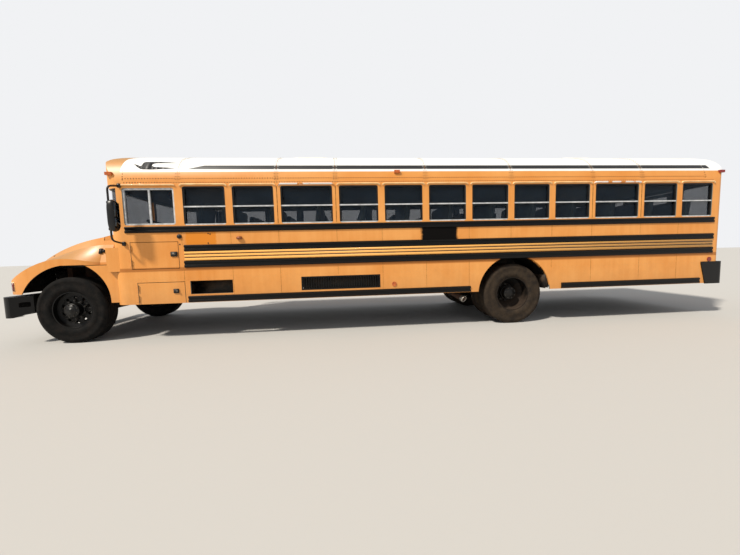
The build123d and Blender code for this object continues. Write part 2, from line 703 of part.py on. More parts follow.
# Front wall: round corners, windshield opening with a centre post, opening for the frame
front_wall_top = eave_z - 35.0
glass_low = window_low - 50.0
glass_high = front_wall_top - 55.0
glass_post = 30.0
glass_end = x_side + 845.0
with BuildPart() as front_wall:
    extrude(nose_plan(0, x_body, skirt_z), amount=front_wall_top - seat - skirt_z)
    extrude(nose_plan(wall, x_body + 10, skirt_z - 1), amount=front_wall_top - skirt_z + 2, mode=Mode.SUBTRACT)
    for side in (-1, 1):
        pane_y = across(side, glass_post, body_half)
        block((x_windshield - 10, glass_end), pane_y, (glass_low, glass_high), Mode.SUBTRACT)
    frame_y = (-rail_y - 20, rail_y + 20)
    block((x_windshield - 10, x_body), frame_y, (skirt_z - 1, floor_z - floor_sheet - 10), Mode.SUBTRACT)
save(front_wall.part, "front_wall")

# Rear wall: emergency doorway between two windows
rear_glass_y = (rear_door_half + 130.0, body_half - 159.0)
plate = (-760.0, 1200.0)                # middle of the licence plate's four holes, y and z
plate_spacing = (178.0, 121.0)
with BuildPart() as rear_wall:
    extrude(tail_plan(0, x_wall_end + seat, skirt_z), amount=wall_top - seat - skirt_z)
    extrude(tail_plan(wall, x_wall_end - 10, skirt_z - 1), amount=wall_top - skirt_z + 2, mode=Mode.SUBTRACT)
    with BuildSketch(Plane.YZ.offset(x_rear - wall - 5)):
        for side in (-1, 1):
            with Locations((side * (rear_glass_y[0] + rear_glass_y[1]) / 2, window_mid)):
                RectangleRounded(rear_glass_y[1] - rear_glass_y[0], window_height, window_round)
        with Locations((0, (rear_door_low + rear_door_high) / 2)):
            Rectangle(2 * rear_door_half, rear_door_high - rear_door_low)
    extrude(amount=wall + 10, mode=Mode.SUBTRACT)
    with Locations(Plane(origin=(x_rear, *plate), z_dir=(1, 0, 0), x_dir=(0, 1, 0)).location):
        with GridLocations(*plate_spacing, 2, 2):
            Cylinder(3.5, 2 * wall + 2, mode=Mode.SUBTRACT)
    hinge(rear_door_axis, (1, 0), (0, 1), wall_spans(rear_door_hinges))
save(rear_wall.part, "rear_wall")

# Roof: curved sheets that meet over the window posts, with curbs round two hatch openings
cap_seam = x_rear - 330.0
wide_windows = [windows[2], windows[9]]
hatch_x = [(low + high) / 2 for low, high in wide_windows]
roof_seams = [windows[number][0] - post / 2 for number in (0, 2, 3, 5, 7, 9, 10)]
hatch_half = 280.0
curb = 20.0
curb_top = roof_top + 26.0
lid_half = hatch_half + curb + 10
lid_sheet = 30.0
lid_pin = 14.0
lid_low = curb_top + run
lid_axis_z = lid_low + 8.0
hatch_pin = 7.0
hatch_barrel = 30.0
hatch_hinge_y = 150.0
with BuildPart() as roof:
    extrude(roof_section(0, wall_top, x_body + seat), amount=cap_seam - x_body - 2 * seat)
    extrude(roof_section(wall, wall_top - 1, x_body), amount=cap_seam - x_body, mode=Mode.SUBTRACT)
    for x_at in hatch_x:
        outer = hatch_half + curb
        block((x_at - outer, x_at + outer), (-outer, outer), (roof_top - 60, curb_top))
        hatchway = ((x_at - hatch_half, x_at + hatch_half), (-hatch_half, hatch_half))
        block(*hatchway, (roof_top - 200, curb_top + 1), Mode.SUBTRACT)
        axis_x = x_at - lid_half - lid_pin
        for side in (-1, 1):
            for offset_y in (-hatch_barrel - seat - 20, hatch_barrel + seat):
                y_low = side * hatch_hinge_y + offset_y
                rod((axis_x, y_low, lid_axis_z), (axis_x, y_low + 20, lid_axis_z), hatch_pin)
                lug_x = (axis_x - hatch_pin, axis_x + hatch_pin)
                block(lug_x, (y_low, y_low + 20), (roof_top - 30, lid_axis_z))
    for x_seam in roof_seams:
        seam_z = (wall_top - 1, roof_top + 1)
        block((x_seam - seat / 2, x_seam + seat / 2), (-body_half - 1, body_half + 1), seam_z, Mode.SUBTRACT)
save(roof.part, "roof")

# End caps: the roof section, a plan and a side view meet in each rounded cap
brow = 15.0                             # the front cap stands out over the windshield
brow_bend = 0.38                        # share of each side that its curve's handles take
brow_z = front_wall_top + 105.0
tail_brow_z = eave_z + 120.0
cap_lift = 5.0                          # each cap's curve crosses the crown just short of the seam


def front_cap_form(inset):
    """The front cap's solid form, set in from its outer face and running past the seam."""
    base = front_wall_top - inset / wall
    x_face = x_windshield + inset
    x_seam = x_body + inset / 3
    with BuildPart() as form:
        extrude(roof_section(inset, base, x_windshield - 200), amount=x_seam - x_windshield + 200)
        extrude(nose_plan(inset, x_seam, front_wall_top - 2, proud=brow), amount=800, mode=Mode.INTERSECT)
        with BuildSketch(Plane.XZ):
            with BuildLine():
                reach = x_body - x_face + brow
                rise = roof_top + cap_lift - inset - brow_z
                Bezier(
                    (x_face - brow, brow_z),
                    (x_face - brow, brow_z + brow_bend * rise),
                    (x_body - brow_bend * reach, brow_z + rise),
                    (x_body, brow_z + rise),
                )
                Polyline(
                    (x_face - brow, brow_z),
                    (x_face - 5, front_wall_top - 5),
                    (x_body + 50, front_wall_top - 5),
                    (x_body + 50, brow_z + rise),
                    (x_body, brow_z + rise),
                )
            make_face()
        extrude(amount=body_half + 50, both=True, mode=Mode.INTERSECT)
    return form.part


def rear_cap_form(inset):
    """The rear cap's solid form, set in from its outer face and running past the seam."""
    base = wall_top - inset / wall
    x_face = x_rear - inset
    x_seam = cap_seam - inset / 3
    with BuildPart() as form:
        extrude(roof_section(inset, base, x_seam), amount=x_rear - x_seam + 50)
        extrude(tail_plan(inset, cap_seam - 50, wall_top - 2), amount=800, mode=Mode.INTERSECT)
        with BuildSketch(Plane.XZ):
            with BuildLine():
                rise = roof_top + cap_lift - inset - tail_brow_z
                EllipticalCenterArc((cap_seam, tail_brow_z), x_face - cap_seam, rise, 0, arc_size=90)
                Polyline(
                    (cap_seam, tail_brow_z + rise),
                    (cap_seam - 50, tail_brow_z + rise),
                    (cap_seam - 50, eave_z - 25),
                    (x_face, eave_z - 25),
                    (x_face, tail_brow_z),
                )
            make_face()
        extrude(amount=body_half + 50, both=True, mode=Mode.INTERSECT)
    return form.part


with BuildPart() as roof_caps:
    for cap_form in (front_cap_form, rear_cap_form):
        add(cap_form(0))
        add(cap_form(wall), mode=Mode.SUBTRACT)
save(roof_caps.part, "roof_caps")

# Cowl: the shell between hood and windshield, the splash panels behind the front wheels
# and the box on its left side
hood_rear = x_side + 440.0
cowl_front = hood_rear + run
cowl_half = body_half - 257.0
cowl_sheet = 25.0
cowl_low = 1120.0
splash_top = 1184.0
splash_half = body_half - 69.0
splash_sheet = 16.0


def front_arch(y):
    """The front wheel opening in side view."""
    with BuildSketch(Plane.XZ.offset(-y)) as opening:
        with BuildLine():
            ThreePointArc((x_side - 690, 700), (x_side - 458, 1018), (x_side - 60, 1197))
            Line((x_side - 60, 1197), (x_side + 250, 1197))
            ThreePointArc((x_side + 250, 1197), (x_side + 478, 1010), (x_side + 600, 650))
            Polyline((x_side + 600, 650), (x_side + 600, 300), (x_side - 690, 300), (x_side - 690, 700))
        make_face()
    return opening.sketch


with BuildPart() as cowl:
    for inset, mode in ((0, Mode.ADD), (cowl_sheet, Mode.SUBTRACT)):
        with BuildSketch(Plane.XZ):
            with BuildLine():
                Polyline(
                    (cowl_front - inset, cowl_low - inset),
                    (cowl_front - inset, 1625 - inset),
                    (x_windshield + 20, 1668 - inset),
                    (x_body + inset, 1668 - inset),
                    (x_body + inset, cowl_low - inset),
                    close=True,
                )
            make_face()
        extrude(amount=cowl_half - inset, both=True, mode=mode)
    for side in (-1, 1):
        with BuildSketch(Plane.XZ.offset(-side * splash_half)):
            with BuildLine():
                Polyline(
                    (x_side + 262 + run, splash_top),
                    (x_body, splash_top),
                    (x_body, 610),
                    (x_side + 560, 610),
                    close=True,
                )
            make_face()
        extrude(amount=side * splash_sheet)
        shelf = across(side, cowl_half - 5, splash_half)
        block((x_side + 262 + run, x_body), shelf, (splash_top - splash_sheet, splash_top))
    extrude(front_arch(splash_half + 10), amount=100, both=True, mode=Mode.SUBTRACT)
    extrude(front_arch(-splash_half - 10), amount=100, both=True, mode=Mode.SUBTRACT)
    block((x_side + 620, x_side + 841), across(-1, cowl_half - 5, body_half - 14), (1082, 1441))
    extrude(nose_plan(-seat, x_body + 300, 300), amount=2500, mode=Mode.SUBTRACT)
save(cowl.part, "cowl")

# Hood with both front fenders: one shell through five sections
# columns: x from the front axle, crown z, and the edge, crease and fender, each as the distance
# in from the body's side and a height
hood_table = [
    (-868, 1200, (619, 1150), (474, 1030), (179, 985)),
    (-640, 1335, (459, 1262), (354, 1165), (84, 1105)),
    (-310, 1480, (389, 1427), (294, 1325), (61, 1255)),
    (110, 1612, (319, 1562), (254, 1455), (59, 1285)),
    (440, 1668, (261, 1622), (234, 1500), (134, 1230)),
]
hood_low = 778.0
nose_x = x_side + hood_table[0][0]
grille_half = 400.0
grille_z = (835.0, 1110.0)
headlamp_y = (430.0, 620.0)
headlamp_z = (880.0, 1020.0)
tail_reach = 150.0


def hood_section(row, inset):
    """One closed cross-section of the hood and its fenders."""
    x_row, crown_z, *corners = row
    edge, crease, fender = [(body_half - in_from_side, z - inset) for in_from_side, z in corners]
    points = [(fender[0] - inset, hood_low - 4 * inset), (fender[0] - inset, fender[1])]
    points += [(crease[0] - 0.8 * inset, crease[1]), (edge[0] - 0.8 * inset, edge[1])]
    with BuildSketch(Plane.YZ.offset(x_side + x_row)) as section:
        with BuildLine():
            Polyline(points)
            ThreePointArc(points[-1], (0, crown_z - inset), (-points[-1][0], points[-1][1]))
            Polyline([(-y, z) for y, z in reversed(points)])
            Line((-points[0][0], points[0][1]), points[0])
        make_face()
    return section.sketch


def hood_hollow():
    """The space under the hood, open to the rear."""
    with BuildPart() as form:
        loft([hood_section(row, hood_sheet).face() for row in hood_table])
        split(bisect_by=Plane.YZ.offset(nose_x + hood_sheet))
    return form.part


def hood_tails():
    """The flanges that carry both fenders back beside the cowl."""
    with BuildPart() as form:
        extrude(hood_section(hood_table[-1], 0), amount=tail_reach)
        extrude(hood_section(hood_table[-1], hood_sheet), amount=tail_reach, mode=Mode.SUBTRACT)
        along = (hood_rear - 1, hood_rear + tail_reach + 1)
        block(along, (-cowl_half - run, cowl_half + run), (0, 2000), Mode.SUBTRACT)
        block(along, (-body_half, body_half), (0, splash_top + run), Mode.SUBTRACT)
    return form.part


with BuildPart() as hood:
    loft([hood_section(row, 0).face() for row in hood_table])
    add(hood_tails())
    add(hood_hollow(), mode=Mode.SUBTRACT)
    extrude(front_arch(0), amount=body_half, both=True, mode=Mode.SUBTRACT)
    block((x_side + 240, x_side + 460), (-body_half, body_half), (600, splash_top + run), Mode.SUBTRACT)
    nose = (nose_x - 30, nose_x + 70)
    block(nose, (-grille_half, grille_half), grille_z, Mode.SUBTRACT)
    for side in (-1, 1):
        block(nose, across(side, *headlamp_y), headlamp_z, Mode.SUBTRACT)
        notch_y = across(side, pivot_y[0] - run, pivot_y[1] + run)
        notch_z = (hood_low - 20, hood_pivot[1] + 22)
        block((nose_x - 30, nose_x + hood_sheet + 4), notch_y, notch_z, Mode.SUBTRACT)
        barrel_y = across(side, pivot_y[0] + lug + seat, pivot_y[1] - lug - seat)
        pivot = [(hood_pivot[0], y_end, hood_pivot[1]) for y_end in barrel_y]
        rod(*pivot, pivot_radius)
        block((nose_x, hood_pivot[0]), barrel_y, (hood_pivot[1] - 8, hood_pivot[1] + 12))
        block((nose_x, nose_x + 12), barrel_y, (hood_pivot[1] - 8, hood_pivot[1] + 40))
save(hood.part, "hood")

# Grille: a frame with cross bars, seated in the hood's nose
grille_bars = 6
with BuildPart() as grille:
    with BuildSketch(Plane.YZ.offset(nose_x + seat)):
        grille_height = grille_z[1] - grille_z[0] - 2 * seat
        with Locations((0, (grille_z[0] + grille_z[1]) / 2)):
            Rectangle(2 * grille_half - 2 * seat, grille_height)
            Rectangle(2 * grille_half - 50, grille_height - 50, mode=Mode.SUBTRACT)
            with GridLocations(0, (grille_height - 40) / (grille_bars + 1), 1, grille_bars):
                Rectangle(2 * grille_half - 40, 14)
    extrude(amount=30)
save(grille.part, "grille")

# Headlamps: plain lamp bodies set into the hood's nose
with BuildPart() as headlamps:
    for side in (-1, 1):
        mid = (side * (headlamp_y[0] + headlamp_y[1]) / 2, (headlamp_z[0] + headlamp_z[1]) / 2)
        with BuildSketch(Plane.YZ.offset(nose_x + seat)):
            with Locations(mid):
                lamp_width = headlamp_y[1] - headlamp_y[0] - 2 * seat
                Rectangle(lamp_width, headlamp_z[1] - headlamp_z[0] - 2 * seat)
        extrude(amount=60)
save(headlamps.part, "headlamps")

# Doors. Electrical and battery doors on the left side, hinged at their front edges
with BuildPart() as electrical_door:
    x_span = (electrical[0][0] + run, electrical[0][1] - run)
    block(x_span, (-body_half, -body_half + 18), (electrical[1][0] + run, electrical[1][1] - run))
    hinge(electrical_axis, (0, -1), (1, 0), leaf_spans(electrical_hinges))
    block((x_span[1] - 105, x_span[1] - 15), (-body_half - 10, -body_half), (1292, 1357))
save(electrical_door.part, "electrical_door")

with BuildPart() as battery_door:
    x_span = (battery[0][0] + run, battery[0][1] - run)
    block(x_span, (-body_half, -body_half + 18), (battery[1][0], battery[1][1] - run))
    hinge(battery_axis, (0, -1), (1, 0), leaf_spans(battery_hinges))
    block((x_span[1] - 160, x_span[1] - 90), (-body_half - 10, -body_half), (733, 793))
save(battery_door.part, "battery_door")

# Entrance door: two leaves with an upper and a lower pane each, opening outwards
door_mid = (door_front + door_rear) / 2
pane_edge = 55.0
pane_rows = [(560.0, 1330.0), (1440.0, 2260.0)]
leaves = [
    ("front", door_front + run, door_mid - run, front_leaf_axis, 1),
    ("rear", door_mid + run, door_rear - run, rear_leaf_axis, -1),
]
for name, x_low, x_high, axis, along in leaves:
    with BuildPart() as door_leaf:
        block((x_low, x_high), (body_half - leaf, body_half), (door_low + run, door_high - run))
        for z_span in pane_rows:
            through = (body_half - leaf - 1, body_half + 1)
            block((x_low + pane_edge, x_high - pane_edge), through, z_span, Mode.SUBTRACT)
        hinge(axis, (0, 1), (along, 0), leaf_spans(leaf_hinges))
    save(door_leaf.part, f"entrance_door_{name}")
    with BuildPart() as door_glass:
        for z_low, z_high in pane_rows:
            x_pane = (x_low + pane_edge + seat, x_high - pane_edge - seat)
            y_pane = body_half - leaf / 2
            block(x_pane, (y_pane - glass / 2, y_pane + glass / 2), (z_low + seat, z_high - seat))
    save(door_glass.part, f"entrance_glass_{name}")

# Rear emergency door, hinged at its right edge
rear_panes = [(1240.0, 1590.0), (window_low, 2265.0)]
rear_pane_half = 330.0
with BuildPart() as rear_door:
    y_span = (-rear_door_half + run, rear_door_half - run)
    block((x_rear - leaf, x_rear), y_span, (rear_door_low + run, rear_door_high - run))
    for z_span in rear_panes:
        block((x_rear - leaf - 1, x_rear + 1), (-rear_pane_half, rear_pane_half), z_span, Mode.SUBTRACT)
    hinge(rear_door_axis, (1, 0), (0, -1), leaf_spans(rear_door_hinges))
    block((x_rear, x_rear + 35), (-430, -400), (1640, 1700))
    block((x_rear + 22, x_rear + 35), (-430, -300), (1640, 1665))
save(rear_door.part, "rear_door")
with BuildPart() as rear_door_glass:
    for z_low, z_high in rear_panes:
        x_pane = x_rear - leaf / 2
        y_pane = (-rear_pane_half + seat, rear_pane_half - seat)
        block((x_pane - glass / 2, x_pane + glass / 2), y_pane, (z_low + seat, z_high - seat))
save(rear_door_glass.part, "rear_door_glass")

# Roof hatches, hinged at their front edges
for number, x_at in enumerate(hatch_x, 1):
    with BuildPart() as hatch:
        block((x_at - lid_half, x_at + lid_half), (-lid_half, lid_half), (lid_low, lid_low + lid_sheet))
        chamfer(hatch.faces().sort_by(Axis.Z)[-1].edges(), 14)
        axis_x = x_at - lid_half - lid_pin
        for side in (-1, 1):
            y_barrel = (side * hatch_hinge_y - hatch_barrel, side * hatch_hinge_y + hatch_barrel)
            rod((axis_x, y_barrel[0], lid_axis_z), (axis_x, y_barrel[1], lid_axis_z), hatch_pin)
            block((axis_x, x_at - lid_half + 20), y_barrel, (lid_low + 2, lid_low + 8))
    save(hatch.part, f"roof_hatch_{number}")

# Rub rails: double-ribbed pressings along both sides
rail_proud = 16.0
# columns: low z, high z, front x, rear x
rail_table = [
    (1648.0, 1745.0, x_side + 930, x_wall_end),
    (1358.0, 1460.0, x_post + 27, x_wall_end),
    (1112.0, 1220.0, x_post + 16, x_wall_end),
    (580.0, 678.0, x_post + 38, x_side + 6241),
    (580.0, 678.0, x_side + 7842, x_side + 10459),
]
with BuildPart() as rub_rails:
    for side in (-1, 1):
        face_y = body_half + seat
        for z_low, z_high, x_low, x_high in rail_table:
            x_low = max(x_low, x_post + 16) if side > 0 else x_low
            groove = (z_high - z_low) / 5
            z_mid = (z_low + z_high) / 2
            with BuildSketch(Plane.YZ.offset(x_low)):
                with BuildLine():
                    Polyline(
                        (side * face_y, z_low),
                        (side * (face_y + rail_proud), z_low + 10),
                        (side * (face_y + rail_proud), z_mid - groove / 2 - 6),
                        (side * (face_y + rail_proud / 3), z_mid - groove / 2),
                        (side * (face_y + rail_proud / 3), z_mid + groove / 2),
                        (side * (face_y + rail_proud), z_mid + groove / 2 + 6),
                        (side * (face_y + rail_proud), z_high - 10),
                        (side * face_y, z_high),
                        close=True,
                    )
                make_face()
            extrude(amount=x_high - x_low)
save(rub_rails.part, "rub_rails")

# Vent: a frame with upright slats in the left skirt
slat_pitch = 38.0
slat = 12.0
with BuildPart() as skirt_grille:
    with BuildSketch(Plane.XZ.offset(body_half - skirt)) as vent_face:
        vent_size = (vent[0][1] - vent[0][0] - 2 * seat, vent[1][1] - vent[1][0] - 2 * seat)
        slats = int((vent_size[0] - 40) / slat_pitch)
        with Locations(((vent[0][0] + vent[0][1]) / 2, (vent[1][0] + vent[1][1]) / 2)):
            Rectangle(*vent_size)
            Rectangle(vent_size[0] - 40, vent_size[1] - 40, mode=Mode.SUBTRACT)
            with GridLocations(slat_pitch, 0, slats, 1):
                Rectangle(slat, vent_size[1] - 30)
    extrude(amount=skirt)
save(skirt_grille.part, "skirt_grille")

# Window frames: a ring with a middle bar in each side opening, and the driver's window
ring = 25.0
ring_depth = 40.0
ring_y = body_half - 10.0               # outer face of the rings
bar_z = 2032.0
with BuildPart() as window_frames:
    for side in (-1, 1):
        openings = [(low, high, window_height, window_mid, True) for low, high in windows]
        if side < 0:
            openings.append((*driver_window, driver_height, driver_mid, False))
        for low, high, height, z_mid, has_bar in openings:
            with BuildSketch(Plane.XZ.offset(-side * ring_y)):
                with Locations(((low + high) / 2, z_mid)):
                    RectangleRounded(high - low - 2 * seat, height - 2 * seat, window_round - seat)
                    RectangleRounded(high - low - 2 * ring, height - 2 * ring, 15, mode=Mode.SUBTRACT)
            extrude(amount=side * ring_depth)
            with BuildSketch(Plane.XZ.offset(-side * ring_y)):
                if has_bar:
                    with Locations(((low + high) / 2, bar_z)):
                        Rectangle(high - low - 2 * ring + 2, 26)
                else:
                    with Locations((x_side + 1300, z_mid)):
                        Rectangle(26, height - 2 * ring + 2)
            extrude(amount=side * 20)
save(window_frames.part, "window_frames")

# Body glass: side panes behind the bars, the wrapped windshield panes and the rear panes
pane_y = ring_y - 24.0
glass_inset = 25.0


def windshield():
    """Two wrapped panes, one each side of the centre post."""
    height = glass_high - glass_low
    with BuildPart() as panes:
        extrude(nose_plan(glass_inset, x_body, glass_low + seat), amount=height - 2 * seat)
        extrude(nose_plan(glass_inset + glass, x_body + 10, glass_low), amount=height, mode=Mode.SUBTRACT)
        middle = (-glass_post - seat, glass_post + seat)
        block((x_windshield - 10, x_body), middle, (glass_low, glass_high), Mode.SUBTRACT)
        block((glass_end - seat, x_body + 20), (-body_half, body_half), (glass_low, glass_high), Mode.SUBTRACT)
    return panes.part


with BuildPart() as body_glass:
    for side in (-1, 1):
        openings = [(low, high, window_height, window_mid) for low, high in windows]
        if side < 0:
            openings.append((*driver_window, driver_height, driver_mid))
        with BuildSketch(Plane.XZ.offset(-side * pane_y)):
            for low, high, height, z_mid in openings:
                with Locations(((low + high) / 2, z_mid)):
                    RectangleRounded(high - low - 2 * (ring + seat), height - 2 * (ring + seat), 14)
        extrude(amount=side * glass)
        with BuildSketch(Plane.YZ.offset(x_rear - wall / 2)):
            with Locations((side * (rear_glass_y[0] + rear_glass_y[1]) / 2, window_mid)):
                pane_width = rear_glass_y[1] - rear_glass_y[0] - 2 * seat
                RectangleRounded(pane_width, window_height - 2 * seat, window_round - seat)
        extrude(amount=glass)
    add(windshield())
save(body_glass.part, "body_glass")

# Passenger seats: high-backed benches in two columns, a cushion and a back each
row_pitch = 719.0
rows = 12
row_x = x_post + 150.0
aisle_half = 165.0
bench_top = floor_z + 440.0
bench_back = floor_z + 960.0
bench_low = bench_top - 130.0
bench_depth = 370.0
with BuildPart() as passenger_seats:
    for side in (-1, 1):
        for number in range(rows):
            x_row = row_x + number * row_pitch
            x_crease = x_row + bench_depth
            with BuildSketch(Plane.XZ.offset(-side * aisle_half)):
                with BuildLine():
                    Polyline(
                        (x_row, bench_low),
                        (x_row, bench_top - 15),
                        (x_crease, bench_top - 30),
                        (x_crease, bench_low),
                        close=True,
                    )
                make_face()
                with BuildLine():
                    Polyline(
                        (x_crease + seat, bench_low),
                        (x_crease + seat, bench_top - 30),
                        (x_crease + 70, bench_back),
                        (x_crease + 155, bench_back),
                        (x_crease + 85, bench_low),
                        close=True,
                    )
                make_face()
            extrude(amount=-side * (inside - seat - aisle_half))
save(passenger_seats.part, "passenger_seats")

# Seat frames: a bent tube under each bench, on the aisle side
leg_tube = 14.0
with BuildPart() as seat_frames:
    for side in (-1, 1):
        for number in range(rows):
            x_leg = row_x + number * row_pitch + 50.0
            leg_y = side * (aisle_half + 60)
            leg_top = bench_low - seat - leg_tube
            with BuildLine() as leg_line:
                FilletPolyline(
                    (x_leg, leg_y, floor_z + seat),
                    (x_leg, leg_y, leg_top),
                    (x_leg + bench_depth, leg_y, leg_top),
                    (x_leg + bench_depth, leg_y, floor_z + seat),
                    radius=60,
                )
            with BuildSketch(Plane(origin=leg_line.line @ 0, z_dir=leg_line.line % 0)):
                Circle(leg_tube)
            sweep()
save(seat_frames.part, "seat_frames")

# Driver's seat on a pedestal
driver_y = 579.0 - body_half
driver_x = x_side + 1560.0
driver_low = floor_z + 380.0
driver_top = floor_z + 500.0
driver_back = floor_z + 1040.0
with BuildPart() as driver_seat:
    with BuildSketch(Plane.XZ.offset(-driver_y - 240)):
        with BuildLine():
            Polyline(
                (driver_x - 240, driver_low),
                (driver_x - 240, driver_top),
                (driver_x + 190, driver_top - 15),
                (driver_x + 270, driver_back),
                (driver_x + 370, driver_back),
                (driver_x + 280, driver_low),
                close=True,
            )
        make_face()
    extrude(amount=480)
    pedestal_z = (floor_z + seat, driver_low + 5)
    block((driver_x - 150, driver_x + 200), (driver_y - 150, driver_y + 150), pedestal_z)
save(driver_seat.part, "driver_seat")

# Dashboard and steering column
wheel_centre = Vector(x_side + 1150, driver_y, floor_z + 700)
column = Vector(0.45, 0, 0.893)
dash_low = floor_z + 230.0
dash_top = floor_z + 560.0
with BuildPart() as dashboard:
    with BuildSketch(Plane.XZ):
        with BuildLine():
            Polyline(
                (x_windshield, dash_low),
                (x_windshield, dash_top),
                (x_body + 60, dash_top),
                (x_body + 150, dash_top - 70),
                (x_body + 90, dash_low + 50),
                (x_body - 60, dash_low),
                close=True,
            )
        make_face()
    extrude(amount=body_half, both=True)
    extrude(nose_plan(wall + seat, x_body + 600, floor_z + 100), amount=600, mode=Mode.INTERSECT)
    passage = ((x_body - 400, x_body + 300), (480, body_half + 80))
    block(*passage, (floor_z + 100, floor_z + 700), Mode.SUBTRACT)
    column_top = wheel_centre - column * (25 + seat)
    column_low = wheel_centre - column * 600
    rod(tuple(column_low), tuple(column_top), 30)
save(dashboard.part, "dashboard")

# Steering wheel: rim, two crossed spokes and hub, turned to the column
rim = 230.0
with BuildPart() as steering_wheel:
    Torus(rim, 15)
    with BuildSketch(Plane.XY):
        for turn in (45, 135):
            with Locations(Location((0, 0, 0), turn)):
                Rectangle(2 * rim, 30)
    extrude(amount=5, both=True)
    Cylinder(45, 50)
save(steering_wheel.part.moved(Plane(origin=wheel_centre, z_dir=column).location), "steering_wheel")

# Fuel tank on the right, exhaust with its tip ahead of the left rear wheel
with BuildPart() as fuel_tank:
    block((x_side + 2600, x_side + 3800), (rail_y + seat, body_half - 139), (600, 925))
    fillet(fuel_tank.edges().filter_by(Axis.X), 60)
save(fuel_tank.part, "fuel_tank")

pipe = 50.0
with BuildPart() as exhaust:
    muffler_y = -rail_y - 160.0
    rod((x_side + 3500, muffler_y, 760), (x_side + 4700, muffler_y, 760), 120)
    with BuildLine() as route:
        FilletPolyline(
            (x_side + 4690, muffler_y, 760),
            (x_side + 5450, muffler_y, 760),
            (x_side + 6000, -900, 560),
            (x_side + 6156, -1150, 449),
            radius=200,
        )
    with BuildSketch(Plane(origin=route.line @ 0, z_dir=route.line % 0)):
        Circle(pipe)
    sweep()
    for x_strap in (x_side + 3600, x_side + 4600):
        block((x_strap - 20, x_strap + 20), (muffler_y, -rail_y - seat), (750, 780))
    rod((bearer_x[6] + 20, muffler_y, 760), (bearer_x[6] + 20, muffler_y, bearer_low - seat), 12)
save(exhaust.part, "exhaust")

# Battery tray behind its door
with BuildPart() as battery_tray:
    tray_x = (battery[0][0] + 30, battery[0][1] - 30)
    block(tray_x, (-body_half + 60, -rail_y - seat), (skirt_z + 25, skirt_z + 37))
    for x_at in (tray_x[0] + 60, tray_x[1] - 60):
        block((x_at - 30, x_at + 30), (-rail_y - seat - 10, -rail_y - seat), (skirt_z + 25, rail_low + 80))
    for x_at in (tray_x[0] + 170, tray_x[0] + 450):
        block((x_at - 120, x_at + 120), (-body_half + 90, -body_half + 440), (skirt_z + 37, skirt_z + 260))
save(battery_tray.part, "battery_tray")

# Mirrors: an upright oval housing on a bowed tube with a foot above and below, each side
# columns: side, tube x, housing x
mirror_table = [(-1, x_side + 868, x_side + 920), (1, x_side + 830, x_side + 778)]
mirror_foot_x = x_body
mirror_out = body_half + 180.0
foot_z = (1495.0, front_wall_top - 22.0)
housing_z = (1660.0, 2110.0)
with BuildPart() as mirrors:
    for side, tube_x, housing_x in mirror_table:
        foot_y = side * (body_half + seat)
        with BuildLine() as route:
            FilletPolyline(
                (mirror_foot_x, foot_y, foot_z[1]),
                (tube_x, side * mirror_out, foot_z[1] - 40),
                (tube_x, side * mirror_out, foot_z[0] + 40),
                (mirror_foot_x, foot_y, foot_z[0]),
                radius=60,
            )
        with BuildSketch(Plane(origin=route.line @ 0, z_dir=route.line % 0)):
            Circle(13)
        sweep(transition=Transition.ROUND)
        for z_foot in foot_z:
            rod((mirror_foot_x, foot_y, z_foot), (mirror_foot_x, foot_y + side * 14, z_foot), 20)
        with BuildSketch(Plane.XY.offset(housing_z[0])):
            with Locations((housing_x, side * mirror_out)):
                RectangleRounded(120, 150, 55)
        extrude(amount=housing_z[1] - housing_z[0])
    for wall_part in (*side_walls, front_wall.part):
        add(wall_part, mode=Mode.SUBTRACT)
save(mirrors.part, "mirrors")

# Lamps: flashing lamps on both caps, markers on the sides and the tail lamps
flasher_radius = 90.0
marker_radius = 38.0
flasher_z = (eave_z + 160.0, eave_z + 70.0)     # front and rear
# columns: name, flasher y, side markers (x, z), corner lamps (x, z), tail lamps y
lamp_table = [
    (
        "amber_lamps", 560.0, [(x_side + 4958, 754)],
        [(x_side + 770, eave_z + 120), (x_side + 5038, eave_z + 138)], [],
    ),
    ("red_lamps", 800.0, [(x_side + 10628, 1002)], [(x_rear - 60, eave_z + 130)], [body_half - 269]),
]
for name, flasher_y, side_markers, corner_lamps, tail_lamps in lamp_table:
    with BuildPart() as lamps:
        for side in (-1, 1):
            y_at = side * flasher_y
            flasher_front = x_windshield - brow - 6
            rod((flasher_front, y_at, flasher_z[0]), (x_body, y_at, flasher_z[0]), flasher_radius)
            rod((x_rear - 40, y_at, flasher_z[1]), (x_rear + 8, y_at, flasher_z[1]), flasher_radius)
            for x_at, z_at in side_markers:
                y_face = side * (body_half + seat)
                rod((x_at, y_face, z_at), (x_at, y_face + side * 10, z_at), marker_radius)
            for x_at, z_at in corner_lamps:
                lamp_y = across(side, body_half - 80, body_half + 12)
                block((x_at - 45, x_at + 45), lamp_y, (z_at - 22, z_at + 22))
            for y_tail in tail_lamps:
                rod((x_rear + seat, side * y_tail, 1200), (x_rear + 20, side * y_tail, 1200), 90)
        add(front_cap_form(0), mode=Mode.SUBTRACT)
        add(rear_cap_form(0), mode=Mode.SUBTRACT)
        extrude(roof_section(0, wall_top, x_body), amount=cap_seam - x_body, mode=Mode.SUBTRACT)
        block((x_windshield, x_rear), (-body_half, body_half), (skirt_z, wall_top), Mode.SUBTRACT)
    save(lamps.part, name)
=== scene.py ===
import math

import bmesh
import bpy
from mathutils import Matrix, Vector


